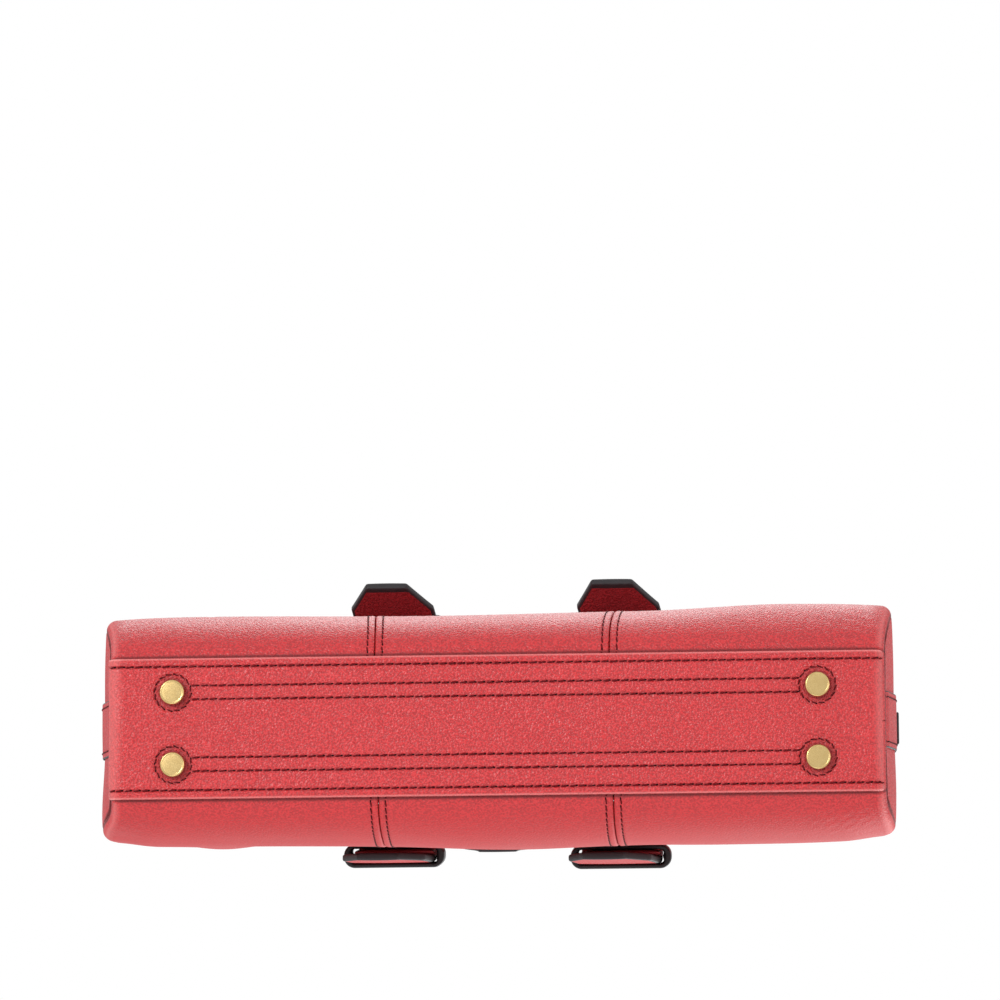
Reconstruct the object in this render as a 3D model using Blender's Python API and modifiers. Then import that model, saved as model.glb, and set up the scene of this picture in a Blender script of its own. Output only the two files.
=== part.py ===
"""A structured leather satchel with two top handles, a closing flap and brass feet.

Metres, +Z up. The bag stands on its feet at z = 0, its length runs along X and its front faces -Y.
"""

import math

import bmesh
import bpy
from mathutils import Matrix, Vector

# Body sizes
WALL_LENGTH = 0.326
BODY_DEPTH = 0.102
TOP_DEPTH = 0.080
BODY_HEIGHT = 0.235
FULLEST_HEIGHT = 0.055
BOTTOM_FLAT = 0.052
END_ROLL = 0.004
END_SHOULDER = 0.0018
END_SWELL = 0.006
END_SWELL_TOP = 0.0025
LEATHER = 0.0018
SEAM_SPACING = 0.100
CLEARANCE = 0.0003

# Base and feet
BASE_WIDTH = 0.060
BOARD_WIDTH = 0.048
BOARD_THICKNESS = 0.0026
FOOT_HEIGHT = 0.0045
FOOT_DIAMETER = 0.0107
FOOT_SPACING_X = 0.274
FOOT_SPACING_Y = 0.0307
SHANK_DIAMETER = 0.004
WASHER_DIAMETER = 0.012
WASHER_THICKNESS = 0.001
BASE_WRAP_ANGLE = math.radians(80)

# Ends of the bag
GUSSET_BULGE = 0.0013
GUSSET_TOP_BULGE = 0.0006
BAND_WIDTH = 0.0237
BAND_THICKNESS = 0.001
BAND_DROP = 0.023
TAB_WIDTH = 0.0144
TAB_THICKNESS = 0.003
TAB_DROP = 0.044
TAB_FLARE = 0.0044
RING_DROP = 0.013
RING_WIRE = 0.0034
RING_WIDTH = 0.025
RING_RISE = 0.0165
RING_LEAN = math.radians(8)

# Inside of the bag
LINING = 0.0008
LINING_SPACE = 0.0022
FACING = 0.0012
FACING_HEIGHT = 0.028

# Handle straps and their keepers
STRAP_WIDTH = 0.0365
STRAP_THICKNESS = 0.0031
STRAP_TOP_WIDTH = 0.022
TIP_WIDTH = 0.0175
TIP_LENGTH = 0.0341
TIP_TAPER = 0.028
FRONT_TIP_LIFT = math.radians(-4)
BACK_TIP_LIFT = math.radians(29)
KEEPER_DROP = 0.078
KEEPER_HEIGHT = 0.016
KEEPER_BAND = 0.0022
KEEPER_SIDE_ROOM = 0.002
KEEPER_CORNER = 0.005
PAD_THICKNESS = 0.0024

# Handles
HANDLE_REACH = 0.104
HANDLE_LEG = 0.048
HANDLE_ROLL_RADIUS = 0.0056
HANDLE_END_THICKNESS = 0.005
HANDLE_END_LENGTH = 0.026
HANDLE_END_RISE = 0.0035
HANDLE_END_SLANT = math.radians(18)
WRAP_THICKNESS = 0.0013
HANDLE_LEAN = math.radians(9)

# Closing flap
FLAP_WIDTH = 0.034
FLAP_TIP_WIDTH = 0.017
FLAP_TAPER = 0.020
FLAP_THICKNESS = 0.0028
FLAP_DROP = 0.077
FLAP_BEND = 0.007
ANCHOR_DROP = 0.040
MAGNET_DROP = 0.049
MAGNET_DIAMETER = 0.016
MAGNET_THICKNESS = 0.0016
PLATE_DIAMETER = 0.0154
PLATE_THICKNESS = 0.001

# Levels that follow from the sizes above; a drop is measured down from the top edge of the body
HALF_LENGTH = WALL_LENGTH / 2
BASE_LEVEL = FOOT_HEIGHT + CLEARANCE
WALL_LEVEL = BASE_LEVEL + LEATHER + CLEARANCE
GUSSET_GAP = LEATHER / 6
BOARD_LEVEL = WALL_LEVEL + LEATHER + CLEARANCE
WASHER_LEVEL = BOARD_LEVEL + BOARD_THICKNESS + CLEARANCE
SHANK_TOP = WASHER_LEVEL + WASHER_THICKNESS
FLOOR_LEVEL = SHANK_TOP + CLEARANCE
BAND_TOP = BODY_HEIGHT - BAND_DROP
RING_HEIGHT = BODY_HEIGHT - RING_DROP
KEEPER_BOTTOM = BODY_HEIGHT - KEEPER_DROP
FLAP_END_HEIGHT = BODY_HEIGHT - FLAP_DROP
ANCHOR_BOTTOM = BODY_HEIGHT - ANCHOR_DROP
MAGNET_HEIGHT = BODY_HEIGHT - MAGNET_DROP
STRAP_SEAT = 3 * CLEARANCE + KEEPER_BAND + PAD_THICKNESS
KEEPER_DEPTH = STRAP_SEAT + STRAP_THICKNESS + KEEPER_BAND
FRONT = -1
BACK = 1
SIDES = {"front": FRONT, "back": BACK}
ENDS = {"left": -1, "right": 1}


def clear_scene():
    for obj in list(bpy.data.objects):
        bpy.data.objects.remove(obj, do_unlink=True)


def new_collection(name):
    collection = bpy.data.collections.new(name)
    bpy.context.scene.collection.children.link(collection)
    return collection


def finish(name, colour, roughness, metallic=0.0):
    """A plain surface with one colour."""
    material = bpy.data.materials.new(name)
    material.use_nodes = True
    shader = material.node_tree.nodes["Principled BSDF"]
    shader.inputs["Base Color"].default_value = (*colour, 1)
    shader.inputs["Roughness"].default_value = roughness
    shader.inputs["Metallic"].default_value = metallic
    return material


def add_part(name, mesh, material, pivot=(0, 0, 0)):
    """Put a mesh in the scene as one piece, with its origin at the pivot."""
    mesh.transform(Matrix.Translation(-Vector(pivot)))
    mesh.materials.append(material)
    mesh.shade_smooth()
    mesh.set_sharp_from_angle(angle=math.radians(35))
    obj = bpy.data.objects.new(name, mesh)
    obj.location = pivot
    PARTS.objects.link(obj)
    return obj


def grid_mesh(name, surface, us, vs):
    """A sheet whose points are surface(u, v), facing the way that u cross v points."""
    bm = bmesh.new()
    bmesh.ops.create_grid(bm, x_segments=len(us) - 1, y_segments=len(vs) - 1, size=0.5)
    for vert in bm.verts:
        column = round((vert.co.x + 0.5) * (len(us) - 1))
        row = round((vert.co.y + 0.5) * (len(vs) - 1))
        vert.co = surface(us[column], vs[row])
    mesh = bpy.data.meshes.new(name)
    bm.to_mesh(mesh)
    bm.free()
    return mesh


def loft_mesh(name, rings, capped):
    """A skin through rings of points, with its ends closed if capped."""
    bm = bmesh.new()
    rows = [[bm.verts.new(point) for point in ring] for ring in rings]
    for lower, upper in zip(rows, rows[1:]):
        for i in range(len(lower)):
            j = (i + 1) % len(lower)
            bm.faces.new((lower[i], lower[j], upper[j], upper[i]))
    if capped:
        bm.faces.new(rows[0][::-1])
        bm.faces.new(rows[-1])
    bmesh.ops.recalc_face_normals(bm, faces=bm.faces)
    mesh = bpy.data.meshes.new(name)
    bm.to_mesh(mesh)
    bm.free()
    return mesh


def thicken(obj, thickness, offset=-1):
    modifier = obj.modifiers.new("thickness", "SOLIDIFY")
    modifier.thickness = thickness
    modifier.offset = offset
    modifier.use_even_offset = True


def turned_mesh(name, profile, steps=18):
    """A profile of (radius, height) points, top to bottom, turned about Z."""
    guide = bpy.data.meshes.new(name)
    points = [(radius, 0, height) for radius, height in profile]
    guide.from_pydata(points, [(i, i + 1) for i in range(len(points) - 1)], [])
    obj = bpy.data.objects.new(name, guide)
    PARTS.objects.link(obj)
    screw = obj.modifiers.new("turn", "SCREW")
    screw.steps = steps
    screw.render_steps = steps
    screw.use_merge_vertices = True
    screw.merge_threshold = 0.00001
    return evaluated_mesh(obj)


def evaluated_mesh(obj):
    """The object's finished mesh, with the object itself removed."""
    graph = bpy.context.evaluated_depsgraph_get()
    mesh = bpy.data.meshes.new_from_object(obj.evaluated_get(graph))
    bpy.data.objects.remove(obj, do_unlink=True)
    bm = bmesh.new()
    bm.from_mesh(mesh)
    bmesh.ops.remove_doubles(bm, verts=bm.verts, dist=0.000001)
    bm.to_mesh(mesh)
    bm.free()
    return mesh


def outline_mesh(name, loops, thickness):
    """Flat closed outlines in XY, extruded along Z about their own plane."""
    curve = bpy.data.curves.new(name, "CURVE")
    curve.dimensions = "2D"
    curve.fill_mode = "BOTH"
    curve.extrude = thickness / 2
    for loop in loops:
        spline = curve.splines.new("POLY")
        spline.points.add(len(loop) - 1)
        for point, (x, y) in zip(spline.points, loop):
            point.co = (x, y, 0, 1)
        spline.use_cyclic_u = True
    obj = bpy.data.objects.new(name, curve)
    PARTS.objects.link(obj)
    return evaluated_mesh(obj)


def arc(centre, radius, start, end, steps):
    """Points on an arc, with angles in degrees."""
    angles = [math.radians(start + (end - start) * i / steps) for i in range(steps + 1)]
    return [(centre[0] + radius * math.cos(a), centre[1] + radius * math.sin(a)) for a in angles]


def rounded_rectangle(low, high, radius, steps=5):
    corners = [(high, high, 0), (low, high, 90), (low, low, 180), (high, low, 270)]
    points = []
    for x_corner, y_corner, angle in corners:
        x = x_corner[0] - radius if x_corner is high else x_corner[0] + radius
        y = y_corner[1] - radius if y_corner is high else y_corner[1] + radius
        points += arc((x, y), radius, angle, angle + 90, steps)
    return points


def spread(start, end, count):
    """Evenly spaced values from start to end, both included."""
    return [start + (end - start) * i / count for i in range(count + 1)]


def smooth_step(low, high, value):
    share = min(max((value - low) / (high - low), 0), 1)
    return share * share * (3 - 2 * share)


def cutter(name, radius, low, high, centre):
    """An upright round cutter between two heights."""
    bm = bmesh.new()
    bmesh.ops.create_cone(
        bm, cap_ends=True, segments=20, radius1=radius, radius2=radius, depth=high - low
    )
    mesh = bpy.data.meshes.new(name)
    bm.to_mesh(mesh)
    bm.free()
    obj = bpy.data.objects.new(name, mesh)
    obj.location = (centre[0], centre[1], (low + high) / 2)
    obj.hide_render = True
    obj.display_type = "WIRE"
    CUTTERS.objects.link(obj)
    return obj


def cut(obj, tool):
    modifier = obj.modifiers.new("hole", "BOOLEAN")
    modifier.operation = "DIFFERENCE"
    modifier.object = tool


# Cross-section of the body, from the middle of the bottom (0) by the corner (1 to 2) to the top (3)
def section(t):
    """Half-depth and height on the wall's outer face."""
    flat, fullest, top = BOTTOM_FLAT / 2, BODY_DEPTH / 2, TOP_DEPTH / 2
    if t <= 1:
        return flat * t, WALL_LEVEL
    if t <= 2:
        turn = (t - 1) * math.pi / 2
        drop = (FULLEST_HEIGHT - WALL_LEVEL) * math.cos(turn)
        return flat + (fullest - flat) * math.sin(turn), FULLEST_HEIGHT - drop
    rise = t - 2
    height = FULLEST_HEIGHT + (BODY_HEIGHT - FULLEST_HEIGHT) * rise
    return fullest - (fullest - top) * rise**1.7, height


BODY_ROWS = spread(1, 2, 8) + spread(2, 3, 6)[1:]


def section_normal(t):
    """Outward direction (across, up) of the wall's face."""
    step = 0.001
    y0, z0 = section(max(t - step, 0))
    y1, z1 = section(min(t + step, 3))
    length = math.hypot(y1 - y0, z1 - z0)
    return (z1 - z0) / length, -(y1 - y0) / length


def wall_depth(height):
    """Half-depth of the body at a height above its fullest one."""
    return section(2 + (height - FULLEST_HEIGHT) / (BODY_HEIGHT - FULLEST_HEIGHT))[0]


def section_at(height):
    """The section value at a height above the fullest one."""
    return 2 + (height - FULLEST_HEIGHT) / (BODY_HEIGHT - FULLEST_HEIGHT)


def end_roll(x):
    """How far the walls roll in near the ends of the bag."""
    past = abs(x) - (HALF_LENGTH - END_ROLL)
    if past <= 0:
        return 0
    return END_ROLL - math.sqrt(max(END_ROLL**2 - past**2, 0))


def length_swell(height):
    """How far the ends of the body stand out past the bottom's at a height."""
    rise = smooth_step(WALL_LEVEL, FULLEST_HEIGHT, height)
    fall = smooth_step(FULLEST_HEIGHT, BODY_HEIGHT, height)
    return END_SWELL * rise + (END_SWELL_TOP - END_SWELL) * fall


def wall_point(x, t, side, depth=0.0):
    """A point of the wall, depth below its outer face."""
    y, z = section(t)
    across, up = section_normal(t)
    inset = depth + end_roll(x) + END_SHOULDER * (abs(x) / HALF_LENGTH) ** 10 * abs(across)
    along = x * (1 + length_swell(z) / HALF_LENGTH)
    return along, side * (y - inset * across), z - inset * up


def wall_sheet(name, xs, ts, side, depth=0.0):
    """A stretch of wall, facing out of the bag."""
    columns = xs if side == FRONT else xs[::-1]
    return grid_mesh(name, lambda x, t: wall_point(x, t, side, depth), columns, ts)


def roll_columns(start):
    """Places along the bag from start to the rolled end."""
    straight = HALF_LENGTH - END_ROLL
    turns = [math.radians(a) for a in (22.5, 45, 67.5, 90)]
    return spread(start, straight, 4) + [straight + END_ROLL * math.sin(a) for a in turns]


def build_walls():
    rows = [CLEARANCE / BOTTOM_FLAT] + BODY_ROWS
    seam = SEAM_SPACING / 2
    for side_name, side in SIDES.items():
        inner = spread(-seam + CLEARANCE / 2, seam - CLEARANCE / 2, 2)
        centre = wall_sheet(f"{side_name}_panel_center", inner, rows, side)
        panel = add_part(f"{side_name}_panel_center", centre, RED_LEATHER)
        thicken(panel, LEATHER)
        for end_name, end in ENDS.items():
            columns = [end * x for x in roll_columns(seam + CLEARANCE / 2)][::end]
            name = f"{side_name}_panel_{end_name}"
            panel = add_part(name, wall_sheet(name, columns, rows, side), RED_LEATHER)
            thicken(panel, LEATHER)
            cut(panel, SHANK_CUTTERS[side_name, end_name])


def build_base():
    reach = END_ROLL + LEATHER + CLEARANCE
    straight = HALF_LENGTH - END_ROLL
    turns = [BASE_WRAP_ANGLE * i / 4 for i in range(1, 5)]
    right = [(straight + reach * math.sin(a), reach - reach * math.cos(a)) for a in turns]
    left = [(-x, rise) for x, rise in right[::-1]]
    columns = left + [(x, 0) for x in spread(-straight, straight, 6)] + right
    half = BASE_WIDTH / 2
    sheet = grid_mesh(
        "base_panel", lambda y, c: (c[0], y, BASE_LEVEL + c[1]), spread(-half, half, 4), columns
    )
    panel = add_part("base_panel", sheet, RED_LEATHER)
    thicken(panel, LEATHER)
    board_length = 2 * straight - 2 * LEATHER
    outline = rounded_rectangle(
        (-board_length / 2, -BOARD_WIDTH / 2), (board_length / 2, BOARD_WIDTH / 2), END_ROLL
    )
    mesh = outline_mesh("base_board", [outline], BOARD_THICKNESS)
    mesh.transform(Matrix.Translation((0, 0, BOARD_LEVEL + BOARD_THICKNESS / 2)))
    board = add_part("base_board", mesh, BOARD)
    for tool in SHANK_CUTTERS.values():
        cut(panel, tool)
        cut(board, tool)


def build_feet():
    shank, head, edge = SHANK_DIAMETER / 2, FOOT_DIAMETER / 2, 0.0006
    profile = [
        (0, SHANK_TOP),
        (shank, SHANK_TOP),
        (shank, FOOT_HEIGHT),
        (head - 2 * edge, FOOT_HEIGHT),
        (head, FOOT_HEIGHT - 2 * edge),
        (head, edge),
        (head - edge, 0),
        (0, 0),
    ]
    bore, rim = shank + CLEARANCE, WASHER_DIAMETER / 2
    low, high = WASHER_LEVEL, WASHER_LEVEL + WASHER_THICKNESS
    washer = [(bore, high), (rim, high), (rim, low), (bore, low), (bore, high)]
    for side_name, side in SIDES.items():
        for end_name, end in ENDS.items():
            place = Matrix.Translation((end * FOOT_SPACING_X / 2, side * FOOT_SPACING_Y / 2, 0))
            for name, shape, metal in (("foot", profile, BRASS), ("foot_washer", washer, STEEL)):
                full_name = f"{name}_{side_name}_{end_name}"
                mesh = turned_mesh(full_name, shape)
                mesh.transform(place)
                add_part(full_name, mesh, metal)


def gusset_edge(t):
    """Height and half-width of the gusset's edge, inside the rolled ends of the walls."""
    y, z = section(t)
    across, up = section_normal(t)
    inset = END_ROLL + GUSSET_GAP + END_SHOULDER * abs(across)
    return z - inset * up, y - inset * across


def half_width(height):
    """Half-width of the gusset at a height."""
    outline = [gusset_edge(t) for t in BODY_ROWS]
    for (low, y_low), (high, y_high) in zip(outline, outline[1:]):
        if low <= height <= high:
            return y_low + (y_high - y_low) * (height - low) / (high - low)
    return outline[0][1] if height < outline[0][0] else outline[-1][1]


def gusset_reach(share, height):
    """How far out the gusset lies at a share of its half-width and a height."""
    rise = smooth_step(WALL_LEVEL + END_ROLL, FULLEST_HEIGHT, height)
    fall = smooth_step(FULLEST_HEIGHT, BODY_HEIGHT, height)
    bulge = GUSSET_BULGE * rise + (GUSSET_TOP_BULGE - GUSSET_BULGE) * fall
    return HALF_LENGTH + length_swell(height) + bulge * (1 - abs(share) ** 4)


def gusset_sheet(name, end, width, rows, columns, lift=0.0):
    """A sheet that follows the gusset's face; width(height) is its half-width."""

    def point(share, height):
        y = end * share * width(height)
        across = min(width(height) / half_width(height), 1)
        return end * (gusset_reach(share * across, height) + lift), y, height

    return grid_mesh(name, point, spread(-1, 1, columns), rows)


def build_ends():
    low = WALL_LEVEL + END_ROLL + CLEARANCE
    rows = [gusset_edge(t)[0] for t in BODY_ROWS]
    top = rows[-1]
    lining_inset = LEATHER + LINING_SPACE
    lining_rows = [low + LINING] + rows[1:-1] + [top - LEATHER]
    band_rows = [low + 2 * CLEARANCE] + [z for z in rows[1:] if z < BAND_TOP] + [BAND_TOP]
    for end_name, end in ENDS.items():
        name = f"gusset_{end_name}"
        panel = add_part(name, gusset_sheet(name, end, half_width, rows, 8), RED_LEATHER)
        thicken(panel, LEATHER)
        name = f"side_band_{end_name}"
        lift = CLEARANCE + BAND_THICKNESS
        sheet = gusset_sheet(name, end, lambda z: BAND_WIDTH / 2, band_rows, 2, lift)
        band = add_part(name, sheet, RED_LEATHER)
        thicken(band, BAND_THICKNESS)
        name = f"lining_{end_name}"
        depth = LEATHER + 2 * CLEARANCE
        sheet = gusset_sheet(name, end, lambda z: half_width(z) - lining_inset, lining_rows, 4, -depth)
        lining = add_part(name, sheet, TWILL)
        thicken(lining, LINING)
        build_ring_tab(end_name, end)


def build_ring_tab(end_name, end):
    """A leather tab folded over the bar of a D-ring."""
    wire = RING_WIRE / 2
    eye = wire + CLEARANCE
    fold = eye + TAB_THICKNESS / 2
    over_gusset = gusset_reach(0, RING_HEIGHT) + fold
    over_band = gusset_reach(0, BAND_TOP) + CLEARANCE + BAND_THICKNESS + TAB_THICKNESS / 2
    centre = max(over_gusset, over_band) + CLEARANCE
    neck = math.degrees(math.asin(TAB_THICKNESS / 2 / fold))
    outline = arc((0, 0), fold, -90 + neck, 270 - neck, 14)
    tail = [(-TAB_THICKNESS / 2 + TAB_FLARE, -TAB_DROP), (TAB_THICKNESS / 2 + TAB_FLARE, -TAB_DROP)]
    hole = arc((0, 0), eye, 0, 337.5, 15)
    name = f"ring_tab_{end_name}"
    mesh = outline_mesh(name, [outline + tail, hole], TAB_WIDTH)
    upright = Matrix.Rotation(math.pi / 2, 4, "X")
    place = Matrix.Translation((end * centre, 0, RING_HEIGHT))
    facing = Matrix.Rotation(0 if end > 0 else math.pi, 4, "Z")
    mesh.transform(place @ facing @ upright)
    add_part(name, mesh, RED_LEATHER)

    pivot = (end * centre, 0, RING_HEIGHT)
    half, bend = RING_WIDTH / 2 - wire, wire * 2
    points = [(-half + bend, 0), (half - bend, 0)]
    points += arc((half - bend, bend), bend, -60, 0, 2)
    points += [
        (half * math.cos(a), bend + (RING_RISE - bend) * math.sin(a))
        for a in (math.radians(15 * i) for i in range(1, 12))
    ]
    points += arc((-half + bend, bend), bend, 180, 240, 2)
    curve = bpy.data.curves.new("ring", "CURVE")
    curve.dimensions = "3D"
    curve.bevel_depth = wire
    curve.bevel_resolution = 2
    spline = curve.splines.new("POLY")
    spline.points.add(len(points) - 1)
    for control, (y, z) in zip(spline.points, points):
        lean = end * z * math.sin(RING_LEAN)
        control.co = (pivot[0] - lean, y, RING_HEIGHT + z * math.cos(RING_LEAN), 1)
    spline.use_cyclic_u = True
    guide = bpy.data.objects.new("ring", curve)
    PARTS.objects.link(guide)
    add_part(f"side_ring_{end_name}", evaluated_mesh(guide), BRASS, pivot)


def build_lining():
    reach = HALF_LENGTH - END_ROLL - LEATHER
    facing_start = section_at(BODY_HEIGHT - FACING_HEIGHT)
    lining_rows = spread(1.25, 2, 6) + spread(2, facing_start, 5)[1:]
    facing_rows = spread(facing_start + 0.005, 3, 3)
    columns = spread(-reach, reach, 6)
    for side_name, side in SIDES.items():
        name = f"lining_{side_name}"
        sheet = wall_sheet(name, columns, lining_rows, side, LEATHER + LINING_SPACE)
        thicken(add_part(name, sheet, TWILL), LINING)
        name = f"facing_{side_name}"
        sheet = wall_sheet(name, columns, facing_rows, side, LEATHER + CLEARANCE)
        thicken(add_part(name, sheet, RED_LEATHER), FACING)
    low = wall_point(0, lining_rows[0], BACK, LEATHER + LINING_SPACE + LINING)
    corner = (reach - LINING, low[1] - CLEARANCE)
    outline = rounded_rectangle((-corner[0], -corner[1]), corner, END_ROLL)
    mesh = outline_mesh("lining_floor", [outline], LINING)
    mesh.transform(Matrix.Translation((0, 0, FLOOR_LEVEL + LINING / 2)))
    add_part("lining_floor", mesh, TWILL)


def strap_middle(height, lift):
    """Half-depth of a strap's middle plane: off the wall at the keeper, close to it above, lifted below."""
    seat = STRAP_SEAT + STRAP_THICKNESS / 2
    close = 2 * CLEARANCE + STRAP_THICKNESS / 2
    keeper_top = KEEPER_BOTTOM + KEEPER_HEIGHT
    if height >= KEEPER_BOTTOM:
        ease = smooth_step(keeper_top, keeper_top + 0.035, height)
        return wall_depth(height) + seat + (close - seat) * ease
    drop = KEEPER_BOTTOM - height
    return wall_depth(KEEPER_BOTTOM) + seat + math.tan(lift) * (math.hypot(drop, 0.006) - 0.006)


def strap_top():
    return handle_pivot()[1] - CLEARANCE


def handle_pivot():
    """Half-depth and height of the line where a handle folds, at the outer edge of its straps' tops."""
    return wall_depth(BODY_HEIGHT) + 2 * CLEARANCE + STRAP_THICKNESS, BODY_HEIGHT + HANDLE_END_RISE


def strap_half_width(height, end_height):
    taper = STRAP_WIDTH / 2 - TIP_WIDTH / 2
    rise = min((height - end_height) / TIP_TAPER, 1)
    narrow = smooth_step(KEEPER_BOTTOM + 2 * KEEPER_HEIGHT, strap_top(), height)
    top_taper = (STRAP_WIDTH - STRAP_TOP_WIDTH) / 2
    return TIP_WIDTH / 2 + taper * rise - top_taper * narrow


def build_strap(side_name, side, end_name, end):
    """One handle strap, its pad and its keeper."""
    lift = FRONT_TIP_LIFT if side == FRONT else BACK_TIP_LIFT
    low = KEEPER_BOTTOM - TIP_LENGTH * math.cos(lift)
    place = end * SEAM_SPACING / 2
    rows = [low, low + TIP_TAPER / 2, low + TIP_TAPER] + spread(KEEPER_BOTTOM, strap_top(), 12)

    def point(share, height):
        x = place - side * share * strap_half_width(height, low)
        top = min(height, BODY_HEIGHT)
        return x, side * strap_middle(top, lift), height

    name = f"strap_{side_name}_{end_name}"
    strap = add_part(name, grid_mesh(name, point, spread(-1, 1, 2), rows), RED_LEATHER)
    thicken(strap, STRAP_THICKNESS, offset=0)

    middle = KEEPER_BOTTOM + KEEPER_HEIGHT / 2
    across, up = section_normal(section_at(middle))
    slope = math.atan2(up, across)
    frame = Matrix.Translation((place, side * wall_depth(middle), middle))
    frame = frame @ Matrix.Rotation(side * slope, 4, "X")

    half = STRAP_WIDTH / 2 + KEEPER_SIDE_ROOM + CLEARANCE + KEEPER_BAND
    near, far = CLEARANCE, CLEARANCE + KEEPER_DEPTH
    outer = rounded_rectangle((-half, near), (half, far), KEEPER_CORNER)
    inner = rounded_rectangle(
        (-half + KEEPER_BAND, near + KEEPER_BAND),
        (half - KEEPER_BAND, far - KEEPER_BAND),
        KEEPER_CORNER - KEEPER_BAND,
    )
    name = f"keeper_{side_name}_{end_name}"
    mesh = outline_mesh(name, [outer, inner], KEEPER_HEIGHT)
    turn = Matrix.Rotation(0 if side == BACK else math.pi, 4, "Z")
    mesh.transform(frame @ turn)
    add_part(name, mesh, PAINTED_EDGE)

    pad_low = near + KEEPER_BAND + CLEARANCE
    pad_half = half - KEEPER_CORNER
    pad = rounded_rectangle((-pad_half, pad_low), (pad_half, pad_low + PAD_THICKNESS), PAD_THICKNESS / 3, 3)
    name = f"strap_pad_{side_name}_{end_name}"
    mesh = outline_mesh(name, [pad], KEEPER_HEIGHT - 2 * CLEARANCE)
    mesh.transform(frame @ turn)
    add_part(name, mesh, RED_LEATHER)


def handle_path(distance_steps):
    """Centre line of a handle in its own plane: up one leg, over the arch and down the other."""
    half = SEAM_SPACING / 2
    leg = [(-half, z) for z in spread(0, HANDLE_LEG, 6)]
    rise = HANDLE_REACH - HANDLE_LEG
    turns = [math.pi * i / distance_steps for i in range(1, distance_steps)]
    over = [(-half * math.cos(a), HANDLE_LEG + rise * math.sin(a)) for a in turns]
    return leg + over + [(-x, z) for x, z in leg[::-1]]


def handle_rings(path, size, sides, middle):
    """Rings along the handle; size(height) gives a half-width, a half-thickness and a squareness."""
    rings = []
    for i, (x, z) in enumerate(path):
        x0, z0 = path[max(i - 1, 0)]
        x1, z1 = path[min(i + 1, len(path) - 1)]
        along = Vector((x1 - x0, 0, z1 - z0)).normalized()
        across = Vector((along.z, 0, -along.x))
        wide, thick, square = size(z)
        ring = []
        for k in range(sides):
            turn = 2 * math.pi * k / sides
            c, s = math.cos(turn), math.sin(turn)
            reach = (abs(c) ** square + abs(s) ** square) ** (-1 / square)
            ring.append(Vector((x, middle + thick * reach * s, z)) + across * wide * reach * c)
        rings.append(ring)
    return rings


def build_handle(side_name, side):
    """A rolled strap with flat ends, and the leather wrap round its grip."""
    end_half = HANDLE_END_THICKNESS / 2

    def roll_size(z):
        ease = smooth_step(0, HANDLE_END_LENGTH, z)
        wide = STRAP_TOP_WIDTH / 2 + (HANDLE_ROLL_RADIUS - STRAP_TOP_WIDTH / 2) * ease
        thick = end_half + (HANDLE_ROLL_RADIUS - end_half) * ease
        return wide, thick, 4 - 2 * ease

    def wrap_size(_):
        radius = HANDLE_ROLL_RADIUS + CLEARANCE + WRAP_THICKNESS
        return radius, radius, 2

    half_depth, height = handle_pivot()
    pivot = (0, side * half_depth, height)
    lean = Matrix.Rotation(side * HANDLE_LEAN, 4, "X")
    path = handle_path(16)
    roll = handle_rings(path, roll_size, 12, -side * end_half)
    for point in roll[0] + roll[-1]:
        point.z += math.tan(HANDLE_END_SLANT) * abs(point.y)
    wrapped = [point for point in path if point[1] >= HANDLE_END_LENGTH]
    wrap = handle_rings(wrapped, wrap_size, 12, -side * end_half)
    for name, rings in ((f"handle_roll_{side_name}", roll), (f"handle_wrap_{side_name}", wrap)):
        mesh = loft_mesh(name, rings, rings is roll)
        mesh.transform(Matrix.Translation(pivot) @ lean)
        piece = add_part(name, mesh, RED_LEATHER, pivot)
        if rings is wrap:
            thicken(piece, WRAP_THICKNESS)


def flap_pivot():
    """Half-depth and height of the line where the flap folds, at the outer edge of its anchor's top."""
    return wall_depth(BODY_HEIGHT) + CLEARANCE + FLAP_THICKNESS, BODY_HEIGHT


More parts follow.
